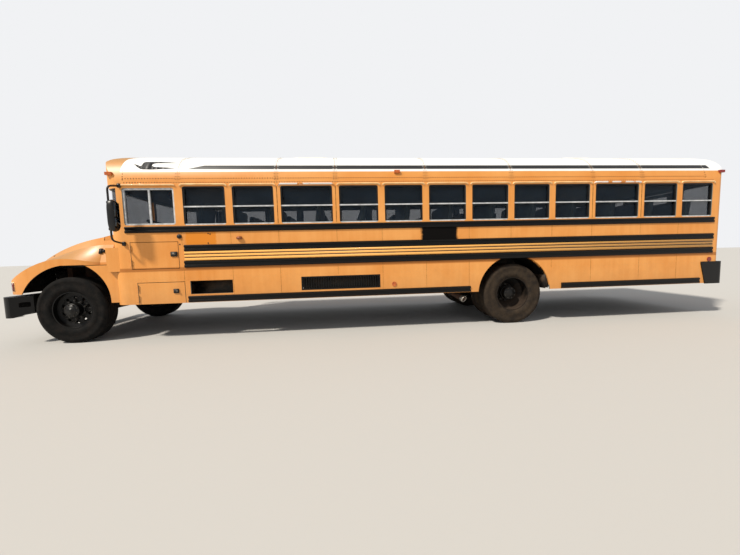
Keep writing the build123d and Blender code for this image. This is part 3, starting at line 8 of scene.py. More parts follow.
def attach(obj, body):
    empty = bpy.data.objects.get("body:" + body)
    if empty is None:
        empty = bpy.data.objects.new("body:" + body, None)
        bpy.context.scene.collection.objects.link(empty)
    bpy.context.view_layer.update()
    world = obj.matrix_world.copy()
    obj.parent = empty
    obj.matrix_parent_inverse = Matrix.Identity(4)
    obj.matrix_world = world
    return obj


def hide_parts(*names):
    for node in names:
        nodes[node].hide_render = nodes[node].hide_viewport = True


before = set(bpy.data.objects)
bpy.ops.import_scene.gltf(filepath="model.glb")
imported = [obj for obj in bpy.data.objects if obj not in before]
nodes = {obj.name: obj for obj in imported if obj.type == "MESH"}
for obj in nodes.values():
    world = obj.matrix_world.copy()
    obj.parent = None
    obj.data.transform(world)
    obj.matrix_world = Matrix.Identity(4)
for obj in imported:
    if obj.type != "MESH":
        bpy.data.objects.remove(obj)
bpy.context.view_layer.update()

# Camera: a wide lens at chest height, about five metres from the bus's left side and
# turned a little towards its front, as in the photograph's perspective.
eye = (-0.8089, -5.9248, 1.2383)
turn, tilt, roll = -0.0845, -0.0775, 0.0265
camera_data = bpy.data.cameras.new("camera")
camera_data.sensor_width = 36.0
camera_data.lens = 14.2986
camera = bpy.data.objects.new("camera", camera_data)
bpy.context.scene.collection.objects.link(camera)
aim = Matrix.Rotation(turn, 4, "Z") @ Matrix.Rotation(tilt, 4, "X") @ Matrix.Rotation(roll, 4, "Y")
camera.matrix_world = Matrix.Translation(eye) @ aim @ Matrix.Rotation(math.pi / 2, 4, "X")
bpy.context.scene.camera = camera
bpy.context.scene.view_settings.view_transform = "Standard"


# Studio: a pale floor under a pale sky, with one soft sun ahead of the bus that grazes the side
# the camera sees. The sky is white behind the bus, and dimmer as a light and in reflections.
def linear(code):
    """An sRGB hex colour as linear red, green, blue and alpha."""
    channels = [int(code[i:i + 2], 16) / 255 for i in (1, 3, 5)]
    return tuple(c / 12.92 if c <= 0.04045 else ((c + 0.055) / 1.055) ** 2.4
                 for c in channels) + (1.0,)


def feed(node, inputs):
    """Gives each input a value, another node's output, or a node, meaning its first output."""
    for key, value in inputs.items():
        if isinstance(value, bpy.types.Node):
            value = value.outputs[0]
        if isinstance(value, bpy.types.NodeSocket):
            node.id_data.links.new(value, node.inputs[key])
        else:
            node.inputs[key].default_value = value


def add_node(tree, kind, settings=(), inputs=()):
    """A shader node with its settings and inputs."""
    node = tree.nodes.new("ShaderNode" + kind)
    for name, value in dict(settings).items():
        setattr(node, name, value)
    feed(node, dict(inputs))
    return node


def material(name, sockets):
    """A material, its node tree and shader, and the point shaded, in its node's own frame."""
    made = bpy.data.materials.new(name)
    made.use_nodes = True
    tree = made.node_tree
    shader = tree.nodes["Principled BSDF"]
    feed(shader, sockets)
    return made, tree, shader, add_node(tree, "TexCoord").outputs["Object"]


world = bpy.data.worlds.new("studio_sky")
bpy.context.scene.world = world
world.use_nodes = True
sky = world.node_tree
sky.nodes.clear()
rays = add_node(sky, "LightPath")
seen = add_node(sky, "Math", {"operation": "MAXIMUM"},
                {0: rays.outputs["Is Camera Ray"], 1: rays.outputs["Is Transmission Ray"]})
seen_sky = add_node(sky, "Background", {}, {"Color": linear("#F1F2F4"), "Strength": 1.0})
light_sky = add_node(sky, "Background", {}, {"Color": linear("#EEF1F6"), "Strength": 0.55})
mixed_sky = add_node(sky, "MixShader", {}, {0: seen, 1: light_sky, 2: seen_sky})
add_node(sky, "OutputWorld", {}, {"Surface": mixed_sky})

sun_data = bpy.data.lights.new("soft_sun", "SUN")
sun_data.energy = 4.1
sun_data.angle = math.radians(5)
sun_data.color = linear("#FFF7EA")[:3]
sun = bpy.data.objects.new("soft_sun", sun_data)
sun.rotation_euler = Vector((-0.55, -0.36, 0.75)).to_track_quat("Z", "Y").to_euler()
bpy.context.scene.collection.objects.link(sun)

# smooth cast floor, pale enough to join the sky at the horizon
floor_paint = material("pale_studio_floor", {"Base Color": linear("#BEBCB8"), "Roughness": 0.9})[0]
bpy.ops.mesh.primitive_plane_add(size=400, location=(0, 0, 0))
studio_floor = bpy.context.object
studio_floor.name = "studio_floor"
studio_floor.data.materials.append(floor_paint)


# Chassis: pressed steel rails, axles and knuckles in black chassis enamel, bolted and
# riveted together. Road dust has settled on what faces up and on what lies low.
def dress(finish, *names):
    """Gives CAD nodes a finish in all their material slots."""
    for name in names:
        for slot in nodes[name].material_slots:
            slot.material = finish


def per_metre(size):
    """How many of a pattern's features, of a size in millimetres, make a metre."""
    return 1000.0 / size


def dusty_black(name, black, dust, amount, roughness, sockets=()):
    """A black finish under road dust, which lies on upward faces, in patches and down low."""
    made, tree, shader, place = material(name, dict(sockets))
    height = add_node(tree, "SeparateXYZ", {}, {0: place})
    low = add_node(tree, "MapRange", {}, {"Value": height.outputs["Z"], "From Min": 0.2,
                                          "From Max": 1.1, "To Min": 0.22, "To Max": 0.0})
    facing = add_node(tree, "NewGeometry")
    up = add_node(tree, "SeparateXYZ", {}, {0: facing.outputs["Normal"]})
    patches = add_node(tree, "TexNoise", {}, {"Vector": place, "Scale": per_metre(142.9),
                                              "Detail": 6.0, "Roughness": 0.65})
    film = add_node(tree, "Math", {"operation": "MULTIPLY_ADD"},
                    {0: up.outputs["Z"], 1: 0.3, 2: patches})
    film = add_node(tree, "Math", {"operation": "ADD"}, {0: film, 1: low})
    film = add_node(tree, "MapRange", {}, {"Value": film, "From Min": 0.45, "From Max": 1.0,
                                           "To Min": 0.0, "To Max": amount})
    tint = add_node(tree, "Mix", {"data_type": "RGBA"},
                    {0: film, 6: linear(black), 7: linear(dust)})
    gloss = add_node(tree, "MapRange", {}, {"Value": film, "To Min": roughness, "To Max": 0.9})
    chips = add_node(tree, "TexNoise", {}, {"Vector": place, "Scale": per_metre(11.1),
                                            "Detail": 4.0, "Roughness": 0.7})
    relief = add_node(tree, "Bump", {}, {"Strength": 0.15, "Distance": 0.001, "Height": chips})
    feed(shader, {"Base Color": tint.outputs[2], "Roughness": gloss, "Normal": relief})
    return made


# chassis enamel, sprayed on: dull black with a soft shine, browned wherever dust can lie
chassis_enamel = dusty_black("dusty_chassis_enamel", "#121110", "#6B543F", 0.75, 0.5,
                             {"Specular IOR Level": 0.3})
dress(chassis_enamel, "rail_left", "rail_right", "cross_members", "floor_bearers",
      "wheel_housings", "front_axle", "rear_axle", "knuckle_left", "knuckle_right",
      "battery_tray", "fuel_tank")


# Springs, engine and exhaust: bare spring steel, cast iron and pipe, hung from the rails and
# under the floor. They have gone brown with surface rust, which is matte and finely pitted.
def blotches(tree, place, size, detail, roughness, first, second):
    """Blotches of a size in mm: a noise, and its ramp from one (level, colour) to another."""
    noise = add_node(tree, "TexNoise", {}, {"Vector": place, "Scale": per_metre(size),
                                            "Detail": detail, "Roughness": roughness})
    ramp = add_node(tree, "ValToRGB", {}, {0: noise})
    for stop, (level, colour) in zip(ramp.color_ramp.elements, (first, second)):
        stop.position = level
        stop.color = linear(colour)
    return noise, ramp


rusty_iron, tree, shader, place = material("rusted_bare_iron", {"Roughness": 0.8})
grain, rust = blotches(tree, place, 40, 8.0, 0.7, (0.35, "#1E1A18"), (0.7, "#5A3A26"))
pits = add_node(tree, "Bump", {}, {"Strength": 0.35, "Distance": 0.002, "Height": grain})
feed(shader, {"Base Color": rust, "Normal": pits})
dress(rusty_iron, "leaf_springs", "driveline", "exhaust")


# Bolts of the chassis: two pairs of heads hold each cross member to each rail's web. Zinc-plated
# steel, gone dull and brown, with a faint metal shine left on the edges.
def piece(name, mesh_maker, finish, body, smooth=True):
    """A mesh object built by mesh_maker on a bmesh, in one finish, riding on a body."""
    mesh = bpy.data.meshes.new(name)
    shape = bmesh.new()
    mesh_maker(shape)
    bmesh.ops.recalc_face_normals(shape, faces=shape.faces)
    for face in shape.faces:
        face.smooth = smooth
    shape.to_mesh(mesh)
    shape.free()
    mesh.materials.append(finish)
    made = bpy.data.objects.new(name, mesh)
    bpy.context.scene.collection.objects.link(made)
    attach(made, body)
    return made


def turned(shape, profile, steps, origin, axis, closed=True):
    """A form turned about an axis through origin: profile points are (radius, distance along)."""
    along = Vector(axis).normalized()
    first = along.orthogonal().normalized()
    second = along.cross(first)
    rings = []
    for step in range(steps):
        angle = 2 * math.pi * step / steps
        spoke = first * math.cos(angle) + second * math.sin(angle)
        rings.append([shape.verts.new(Vector(origin) + spoke * radius + along * reach) for radius,
                      reach in profile])
    count = len(profile)
    for step in range(steps):
        here, there = rings[step], rings[(step + 1) % steps]
        for i in range(count if closed else count - 1):
            j = (i + 1) % count
            shape.faces.new((here[i], here[j], there[j], there[i]))
    if not closed:
        for end in (0, -1):
            if profile[end][0] > 0.0005:
                shape.faces.new([ring[end] for ring in rings])


def hex_heads(shape, spots, across_flats, height):
    """Bolt heads or nuts with a chamfered crown, each at a point and along a direction."""
    radius = across_flats / math.sqrt(3)
    for point, direction in spots:
        turned(shape, [(radius, -0.001), (radius, height * 0.8), (radius * 0.86, height),
                       (radius * 0.4, height)],
               6, point, direction, closed=False)


bolt_zinc, tree, shader, place = material("dull_zinc_bolts", {"Metallic": 0.7, "Roughness": 0.5})
stain, zinc = blotches(tree, place, 16.7, 4.0, 0.6, (0.4, "#4B4238"), (0.65, "#8E8A82"))
feed(shader, {"Base Color": zinc})
web_face = 0.4303
member_x = [-5.475, -3.725, -2.875, -1.775, -0.375, 0.725, 1.625, 3.125, 4.625]


def rail_bolts(shape):
    """Four M16 heads on each cross member's flange, seen on both rails' outer faces."""
    spots = [((x + along, side * web_face, z), (0, side, 0))
             for x in member_x for along in (0.03, 0.08) for z in (0.86, 0.91) for side in (-1, 1)]
    hex_heads(shape, spots, across_flats=0.024, height=0.011)


piece("rail_bolts", rail_bolts, bolt_zinc, "bus", smooth=False)


# Splash panels: thin pressed steel sheets in chassis enamel, hung from the floor and stiffened by
# folded ribs. They keep road dirt off what is behind the skirt's openings and the rear wheels.
def chamfered(shape, low, high, edge):
    """A block between two corners, with its edges rounded off."""
    middle = (Vector(low) + Vector(high)) / 2
    size = Vector(high) - Vector(low)
    made = bmesh.ops.create_cube(shape, size=1.0,
                                 matrix=Matrix.Translation(middle) @ Matrix.Diagonal((*size, 1.0)))
    edges = list({e for v in made["verts"] for e in v.link_edges})
    bmesh.ops.bevel(shape, geom=edges, offset=edge, segments=2, affect="EDGES")


def spaced(start, stop, pitch):
    """Evenly spaced numbers from start to stop, about a pitch apart."""
    count = max(1, round(abs(stop - start) / pitch))
    return [start + (stop - start) * k / count for k in range(count + 1)]


hung_front, hung_back = -0.744, -0.740
hung_low, hung_high = 0.640, 1.000
guard_front, guard_back = 2.598, 2.602
guard_low, guard_high = 0.585, 0.900


def splash_panels(shape):
    for x_low, x_high in ((-3.460, -2.505), (-1.540, -0.200)):
        chamfered(shape, (x_low, hung_front, hung_low), (x_high, hung_back, hung_high), 0.001)
        for x in spaced(x_low + 0.06, x_high - 0.06, 0.3):
            chamfered(shape, (x - 0.012, hung_back, hung_low),
                      (x + 0.012, hung_back + 0.016, hung_high), 0.002)
    for side in (-1, 1):
        y_low, y_high = sorted((side * 0.62, side * 1.196))
        chamfered(shape, (guard_front, y_low, guard_low), (guard_back, y_high, guard_high), 0.001)
        # the outer edge is folded back along the inside of the skirt
        y_low, y_high = sorted((side * 1.184, side * 1.190))
        chamfered(shape, (2.600, y_low, 0.610), (2.710, y_high, guard_high), 0.001)
        for y in (0.70, 0.90, 1.10):
            chamfered(shape, (guard_back, side * y - 0.010, guard_low),
                      (guard_back + 0.012, side * y + 0.010, guard_high), 0.002)


piece("splash_panels", splash_panels, chassis_enamel, "bus")

# Exhaust tip: the cut end of a rolled steel pipe, 110 mm across, turned out to the left ahead of
# the rear wheels. Heat and road grit have worn its rim to bright bare metal with brown stains.
tip_steel, tree, shader, place = material("bright_tip_steel", {"Metallic": 0.8, "Roughness": 0.35})
scale, tone = blotches(tree, place, 12.5, 5.0, 0.7, (0.35, "#8C8173"), (0.6, "#D9D4CB"))
feed(shader, {"Base Color": tone})
tip_end = Vector((1.181, -1.150, 0.449))
tip_axis = Vector((0.156, -0.250, -0.111)).normalized()
tip_profile = [(0.0505, -0.060), (0.054, -0.058), (0.055, 0.002), (0.053, 0.005), (0.046, 0.004),
               (0.045, -0.012), (0.0502, -0.014)]
piece("exhaust_tip_rim", lambda shape: turned(shape, tip_profile, 40, tip_end, tip_axis),
      tip_steel, "bus")


# Tyres: ribbed highway tyres on 22.5 inch rims, moulded with four grooves round the tread and
# rings on the side walls. The rubber is matte and black on the steered wheels; on the rear pairs
# more road dust has been ground in, and they look brown.
def rubber(name, clean, dusty, low, high):
    """Tyre rubber with dust from one colour to another between two levels of its noise."""
    made, tree, shader, place = material(name, {"Roughness": 0.85, "Specular IOR Level": 0.15})
    dirt, tone = blotches(tree, place, 111.1, 8.0, 0.7, (low, clean), (high, dusty))
    scuffs = add_node(tree, "TexNoise", {}, {"Vector": place, "Scale": per_metre(8.33),
                                             "Detail": 3.0})
    relief = add_node(tree, "Bump", {}, {"Strength": 0.2, "Distance": 0.001, "Height": scuffs})
    feed(shader, {"Base Color": tone, "Normal": relief})
    return made


front_rubber = rubber("front_tyre_rubber", "#0B0B0B", "#2A2420", 0.42, 0.9)
rear_rubber = rubber("rear_tyre_rubber", "#26211D", "#483C2F", 0.36, 0.78)
front_axle_x, rear_axle_x = -4.975, 2.035
tyre_radius = 0.508
rim_radius = 0.286
tyre_half = 0.131
groove_floor = tyre_radius - 0.014
# profile points are (radius, distance across); ribs lie between neighbouring pairs of edges
rib_edges = [-0.096, -0.062, -0.054, -0.023, -0.015, 0.015, 0.023, 0.054, 0.062, 0.096]
shoulder = [(rim_radius + 0.0005, -tyre_half + 0.024), (rim_radius + 0.018, -tyre_half + 0.016),
            (rim_radius + 0.022, -tyre_half + 0.012), (0.335, -tyre_half + 0.006),
            (0.372, -tyre_half + 0.001), (0.376, -tyre_half + 0.003), (0.400, -tyre_half),
            (0.440, -tyre_half + 0.004), (0.444, -tyre_half + 0.002), (0.470, -tyre_half + 0.008),
            (0.488, -tyre_half + 0.018), (tyre_radius - 0.004, rib_edges[0] - 0.008)]
tread = []
for low, high in zip(rib_edges[0::2], rib_edges[1::2]):
    tread += [(groove_floor, low - 0.002)] if low > rib_edges[0] else []
    tread += [(tyre_radius, low), (tyre_radius, high)]
    tread += [(groove_floor, high + 0.002)] if high < rib_edges[-1] else []
tyre_profile = shoulder + tread + [(radius, -across) for radius, across in reversed(shoulder)]
single, twins = (1.002,), (0.714, 1.044)
# columns: node, body, axle x, middles across, side, rubber
tyre_table = [
    ("front_tyre_left", "left_front_wheel", front_axle_x, single, -1, front_rubber),
    ("front_tyre_right", "right_front_wheel", front_axle_x, single, 1, front_rubber),
    ("rear_tyres_left", "left_rear_wheels", rear_axle_x, twins, -1, rear_rubber),
    ("rear_tyres_right", "right_rear_wheels", rear_axle_x, twins, 1, rear_rubber),
]
for node, body, x_axle, middles, side, finish in tyre_table:
    def carcass(shape):
        for middle in middles:
            turned(shape, tyre_profile, 120, (x_axle, side * middle, tyre_radius), (0, side, 0))

    ribbed = piece(node.replace("tyre", "ribbed_tyre"), carcass, finish, body)
    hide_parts(node)


# Wheels: pressed steel discs in sprayed black enamel. Ten nuts hold each on its cast iron hub,
# and an oil cap closes the front hubs; the rear hubs end in the flange of the half shaft. The
# front enamel keeps a low shine, the rear is dulled and browned, and grease darkens the hubs.
def studs(shape, spots, radius, height, sides=6):
    """Low domed heads, each at a point and standing out along a direction."""
    for point, direction in spots:
        out = Vector(direction).normalized()
        first = out.orthogonal().normalized()
        second = out.cross(first)
        angles = [2 * math.pi * k / sides for k in range(sides)]
        turns = [first * math.cos(a) + second * math.sin(a) for a in angles]
        rings = [[shape.verts.new(Vector(point) + out * height * lift + turn * radius * reach)
                  for turn in turns]
                 for reach, lift in ((1.0, -0.2), (0.75, 0.7))]
        top = shape.verts.new(Vector(point) + out * height)
        for k in range(sides):
            n = (k + 1) % sides
            shape.faces.new((rings[0][k], rings[0][n], rings[1][n], rings[1][k]))
            shape.faces.new((rings[1][k], rings[1][n], top))


wheel_enamel = dusty_black("dusty_wheel_enamel", "#050505", "#2A231D", 0.14, 0.45,
                           {"Specular IOR Level": 0.25})
dress(wheel_enamel, "front_wheel_left", "front_wheel_right")
dull_enamel = dusty_black("browned_wheel_enamel", "#0B0A09", "#55463A", 0.55, 0.6,
                          {"Specular IOR Level": 0.2})
dress(dull_enamel, "rear_wheels_left", "rear_wheels_right")
painted_nuts = dusty_black("painted_wheel_nuts", "#14120F", "#4A4036", 0.4, 0.4)
hub_cast = dusty_black("greasy_hub_casting", "#060606", "#2E2720", 0.22, 0.35,
                       {"Specular IOR Level": 0.35})
nut_circle, flange_circle, hole_circle = 0.1425, 0.088, 0.192
pilot_radius = 0.1062
oil_cap = [(0.1065, -0.012), (0.1065, 0.004), (0.098, 0.009), (0.078, 0.010), (0.074, 0.020),
           (0.066, 0.026), (0.030, 0.028), (0.028, 0.034), (0.012, 0.035)]
shaft_flange = [(0.1065, -0.014), (0.1065, 0.005), (0.103, 0.009), (0.060, 0.010), (0.054, 0.018),
                (0.018, 0.020)]
# columns: name, body, axle x, side, nut face, hub end
hub_table = [
    ("front_left", "left_front_wheel", front_axle_x, -1, 1.036, 1.117),
    ("front_right", "right_front_wheel", front_axle_x, 1, 1.036, 1.117),
    ("rear_left", "left_rear_wheels", rear_axle_x, -1, 0.897, 1.064),
    ("rear_right", "right_rear_wheels", rear_axle_x, 1, 0.897, 1.064),
]
for name, body, x_axle, side, nut_face, hub_end in hub_table:
    def around(count, radius, reach, start=0.5):
        """Spots round the axle at a radius, facing outwards."""
        turns = [2 * math.pi * (k + start) / count for k in range(count)]
        return [((x_axle + radius * math.cos(a), side * reach, tyre_radius + radius * math.sin(a)),
                 (0, side, 0)) for a in turns]

    def hub_cover(shape):
        middle = (x_axle, side * hub_end, tyre_radius)
        cover = oil_cap if name.startswith("front") else shaft_flange
        turned(shape, cover, 48, middle, (0, side, 0), closed=False)
        collar = [(pilot_radius, -0.070), (0.122, -0.074), (0.124, -0.082), (pilot_radius, -0.086)]
        turned(shape, collar, 48, middle, (0, side, 0))

    piece(f"hub_cover_{name}", hub_cover, hub_cast, body)

    def wheel_nuts(shape):
        hex_heads(shape, around(10, nut_circle, nut_face), across_flats=0.033, height=0.026)
        hex_heads(shape, around(8, flange_circle, hub_end + 0.010), across_flats=0.018,
                  height=0.010)
        studs(shape, around(10, nut_circle, nut_face + 0.024), radius=0.010, height=0.012, sides=8)

    piece(f"wheel_nuts_{name}", wheel_nuts, painted_nuts, body, smooth=False)

    def hole_rims(shape):
        rim = [(0.0242, -0.004), (0.0242, 0.0022), (0.0262, 0.0030), (0.0285, 0.0008),
               (0.0285, -0.004)]
        for point, direction in around(10, hole_circle, nut_face, start=0.0):
            turned(shape, rim, 24, point, direction)

    if name.startswith("front"):
        piece(f"hand_hole_rims_{name}", hole_rims, painted_nuts, body)

# Floor and steps: moulded black rubber glued over steel, with fine ribs along the aisle. It is
# matte, and feet have trodden grey dust into it.
floor_rubber = dusty_black("ribbed_floor_rubber", "#23221F", "#5C5247", 0.5, 0.75)
tree = floor_rubber.node_tree
place = add_node(tree, "TexCoord").outputs["Object"]
# ribs 15.7 mm apart; a wave texture draws 10 / pi bands for each 1 of its scale
runs = add_node(tree, "TexWave", {"bands_direction": "Y"},
                {"Vector": place, "Scale": per_metre(15.7) * math.pi / 10})
ribbing = add_node(tree, "Bump", {}, {"Strength": 0.5, "Distance": 0.003,
                                      "Height": runs.outputs[1]})
feed(tree.nodes["Principled BSDF"], {"Normal": ribbing})
dress(floor_rubber, "floor", "entrance_steps")


# Body shell: riveted steel panels in school-bus yellow enamel, faded by the sun, a duller tan on
# faces that look up, streaked by rain, and with red road dust along the skirts. Where an old arm
# was taken off the paint is still fresh, and a patch further back has been sprayed over in black.
def band(tree, value, low, high, soft):
    """1 where a value lies between two limits, falling to 0 over a soft edge."""
    rise = add_node(tree, "MapRange", {}, {"Value": value, "From Min": low - soft,
                                           "From Max": low + soft})
    fall = add_node(tree, "MapRange", {}, {"Value": value, "From Min": high - soft,
                                           "From Max": high + soft, "To Min": 1.0, "To Max": 0.0})
    return add_node(tree, "Math", {"operation": "MULTIPLY"}, {0: rise, 1: fall}).outputs[0]


def aged_yellow(tree, place):
    """The faded enamel's colour, from a point in the bus's own frame."""
    axes = add_node(tree, "SeparateXYZ", {}, {0: place})
    clouds = add_node(tree, "TexNoise", {}, {"Vector": place, "Scale": per_metre(909.1),
                                             "Detail": 5.0, "Roughness": 0.6})
    tall = add_node(tree, "Mapping", {"vector_type": "POINT"},
                    {"Vector": place, "Scale": (per_metre(71.4), per_metre(71.4), per_metre(1250))})
    streaks = add_node(tree, "TexNoise", {}, {"Vector": tall, "Scale": 1.0, "Detail": 6.0,
                                              "Roughness": 0.65})
    both = add_node(tree, "Mix", {"data_type": "FLOAT"}, {0: 0.3, 2: clouds, 3: streaks})
    fade = add_node(tree, "ValToRGB", {}, {0: both})
    fade.color_ramp.elements[0].position = 0.32
    fade.color_ramp.elements[0].color = linear("#DE8C36")
    fade.color_ramp.elements[1].position = 0.66
    fade.color_ramp.elements[1].color = linear("#EFA85A")
    facing = add_node(tree, "NewGeometry")
    up = add_node(tree, "SeparateXYZ", {}, {0: facing.outputs["Normal"]})
    # faces that look up are mixed toward a dull tan, the more so the flatter they lie
    chalk = add_node(tree, "MapRange", {}, {"Value": up.outputs["Z"], "From Min": 0.12,
                                            "From Max": 0.95, "To Min": 0.0, "To Max": 0.95})
    tan_on_upward_faces = add_node(tree, "Mix", {"data_type": "RGBA"}, {0: chalk, 6: fade, 7: linear("#B08348")})
    grit = add_node(tree, "TexNoise", {}, {"Vector": place, "Scale": per_metre(166.7),
                                           "Detail": 6.0, "Roughness": 0.7})
    height = add_node(tree, "Math", {"operation": "MULTIPLY_ADD"},
                      {0: grit, 1: -0.5, 2: axes.outputs["Z"]})
    splash = add_node(tree, "MapRange", {}, {"Value": height, "From Min": 0.2, "From Max": 0.75,
                                             "To Min": 0.45, "To Max": 0.0})
    specks = add_node(tree, "TexNoise", {}, {"Vector": place, "Scale": per_metre(22.2),
                                             "Detail": 3.0, "Roughness": 0.6})
    chips = add_node(tree, "MapRange", {}, {"Value": specks, "From Min": 0.70, "From Max": 0.74,
                                            "To Min": 0.0, "To Max": 0.5})
    dusty = add_node(tree, "Mix", {"data_type": "RGBA"},
                     {0: splash, 6: tan_on_upward_faces.outputs[2], 7: linear("#B07A45")})
    return add_node(tree, "Mix", {"data_type": "RGBA"},
                    {0: chips, 6: dusty.outputs[2], 7: linear("#8A5426")}).outputs[2]


def facing_middle(tree, place, middle, stretch):
    """1 on faces that look towards a point, with distances stretched along each axis."""
    facing = add_node(tree, "NewGeometry")
    away = add_node(tree, "VectorMath", {"operation": "SUBTRACT"}, {0: place, 1: middle})
    away = add_node(tree, "VectorMath", {"operation": "MULTIPLY"}, {0: away, 1: stretch})
    outward = add_node(tree, "VectorMath", {"operation": "DOT_PRODUCT"},
                       {0: away, 1: facing.outputs["Normal"]})
    return add_node(tree, "Math", {"operation": "LESS_THAN"},
                    {0: outward.outputs["Value"], 1: 0.0}).outputs[0]


def sheet_relief(tree, place, shader):
    """The slow waves of thin sheet and the fine skin of old enamel."""
    waves = add_node(tree, "TexNoise", {}, {"Vector": place, "Scale": per_metre(454.5),
                                            "Detail": 2.0})
    skin = add_node(tree, "TexNoise", {}, {"Vector": place, "Scale": per_metre(4.17),
                                           "Detail": 2.0})
    broad = add_node(tree, "Bump", {}, {"Strength": 0.3, "Distance": 0.012, "Height": waves})
    fine = add_node(tree, "Bump", {}, {"Strength": 0.08, "Distance": 0.0005, "Height": skin,
                                       "Normal": broad})
    feed(shader, {"Normal": fine})


# sprayed enamel: a satin yellow, a duller tan on faces that look up, with the waves of thin sheet
# under it
bus_enamel, tree, shader, place = material("faded_bus_enamel",
                                           {"Roughness": 0.5, "Coat Weight": 0.08,
                                            "Coat Roughness": 0.4})
axes = add_node(tree, "SeparateXYZ", {}, {0: place})
ragged = add_node(tree, "TexNoise", {}, {"Vector": place, "Scale": per_metre(111.1), "Detail": 6.0,
                                         "Roughness": 0.7})
shift = add_node(tree, "Math", {"operation": "MULTIPLY_ADD"},
                 {0: ragged, 1: 0.07, 2: axes.outputs["X"]})
lift = add_node(tree, "Math", {"operation": "MULTIPLY_ADD"},
                {0: ragged, 1: 0.04, 2: axes.outputs["Z"]})
left_side = add_node(tree, "Math", {"operation": "LESS_THAN"}, {0: axes.outputs["Y"], 1: -1.0})
surface = aged_yellow(tree, place)
# fresh paint, then sprayed black; columns: paint, low x, high x, low z, high z, soft edge
patches = [
    ("#E08400", -3.160, -2.715, 1.455, 1.665, 0.012),
    ("#0B0908", 0.480, 1.075, 1.445, 1.690, 0.020),
]
for paint, x_low, x_high, z_low, z_high, soft in patches:
    across = band(tree, shift, x_low, x_high, soft)
    upright = band(tree, lift, z_low, z_high, soft * 0.6)
    patch = add_node(tree, "Math", {"operation": "MULTIPLY"}, {0: across, 1: upright})
    patch = add_node(tree, "Math", {"operation": "MULTIPLY"}, {0: patch, 1: left_side})
    surface = add_node(tree, "Mix", {"data_type": "RGBA"},
                       {0: patch, 6: surface, 7: linear(paint)}).outputs[2]
# the black of the last patch is matt
matt = add_node(tree, "MapRange", {}, {"Value": patch, "To Min": 0.5, "To Max": 0.05})
feed(shader, {"Specular IOR Level": matt})
# painted shadow: a darker band below the lowest rub rail, where the rail's shadow falls on the
# sheet
rail_shadow_band = add_node(tree, "Math", {"operation": "MULTIPLY"},
                 {0: band(tree, axes.outputs["Z"], 1.068, 1.125, 0.008), 1: 0.85})
surface = add_node(tree, "Mix", {"data_type": "RGBA"},
                   {0: rail_shadow_band, 6: surface, 7: linear("#A8600F")}).outputs[2]
# inside the cabin the panels are a pale grey-green
cabin_middle, cabin_stretch = (0.9, 0.0, 1.75), (0.12, 1.0, 1.0)
cabin = facing_middle(tree, place, cabin_middle, cabin_stretch)
surface = add_node(tree, "Mix", {"data_type": "RGBA"},
                   {0: cabin, 6: surface, 7: linear("#7B817A")}).outputs[2]
feed(shader, {"Base Color": surface})
sheet_relief(tree, place, shader)
dress(bus_enamel, "left_wall", "right_wall", "left_skirt", "right_skirt", "front_wall",
      "rear_wall", "rear_door", "electrical_door", "battery_door")

# Corrugated strip: rolled steel sheet riveted on between the two lower rub rails, in the same
# enamel. Its colour is a paler yellow than the enamel, a painted highlight on its three broad
# crowns, and dark brown bands in its two grooves are partly dirt and partly painted shade.
strip_painted_highlight_enamel, tree, shader, place = material("corrugated_strip_painted_highlight",
                                             {"Roughness": 0.5, "Coat Weight": 0.08})
axes = add_node(tree, "SeparateXYZ", {}, {0: place})
strip_front, strip_rear, strip_face = -3.2235, 5.6875, 1.2192
strip_low, strip_high = 1.2235, 1.3565
crowns = [1.245, 1.294, 1.343]
grooves = [1.2695, 1.3185]
groove_wobble = add_node(tree, "TexNoise", {}, {"Vector": place, "Scale": per_metre(33.3), "Detail": 4.0,
                                        "Roughness": 0.6})
wander = add_node(tree, "Math", {"operation": "MULTIPLY_ADD"},
                  {0: groove_wobble, 1: 0.006, 2: axes.outputs["Z"]})
# painted shade and dirt: dark brown bands along the two grooves, over a base colour painted paler
# as a highlight on the crowns
dirt = [band(tree, wander, z - 0.0055, z + 0.0115, 0.002) for z in grooves]
groove_dirt_and_shade = add_node(tree, "Math", {"operation": "MAXIMUM"}, {0: dirt[0], 1: dirt[1]})
surface = add_node(tree, "Mix", {"data_type": "RGBA"},
                   {0: groove_dirt_and_shade, 6: linear("#F2B25C"), 7: linear("#3F210C")})
feed(shader, {"Base Color": surface.outputs[2]})
sheet_relief(tree, place, shader)


def corrugated_strip(shape):
    section = [(strip_low, 0.0)]
    for z in crowns:
        section += [(z - 0.0215, 0.0125), (z - 0.013, 0.0165), (z, 0.0185), (z + 0.013, 0.0165),
                    (z + 0.0205, 0.0125)]
    section[-1] = (strip_high, 0.0)
    for side in (-1, 1):
        rings = [[shape.verts.new((x, side * (strip_face + out), z)) for z, out in section]
                 for x in (strip_front, strip_rear)]
        for i in range(len(section) - 1):
            shape.faces.new((rings[0][i], rings[0][i + 1], rings[1][i + 1], rings[1][i]))
        for ring in rings:
            shape.faces.new(ring)


piece("corrugated_strip", corrugated_strip, strip_painted_highlight_enamel, "bus")

# Laps and rivets: the side sheets meet at the window posts under a double row of domed aluminium
# rivets, painted over with the sheets. Dirt has gathered in the laps, brown and quite matte.
window_top = 2.330
windows = [(-3.1985, -2.5845), (-2.4795, -1.8655), (-1.7605, -0.9675), (-0.8625, -0.2485),
           (-0.1435, 0.4705), (0.5755, 1.1895), (1.2945, 1.9085), (2.0135, 2.6275),
           (2.7325, 3.3465), (3.4515, 4.2445), (4.3495, 4.9635), (5.0685, 5.6485)]
seams = [low - 0.0525 for low, high in windows]
body_half = 1.219
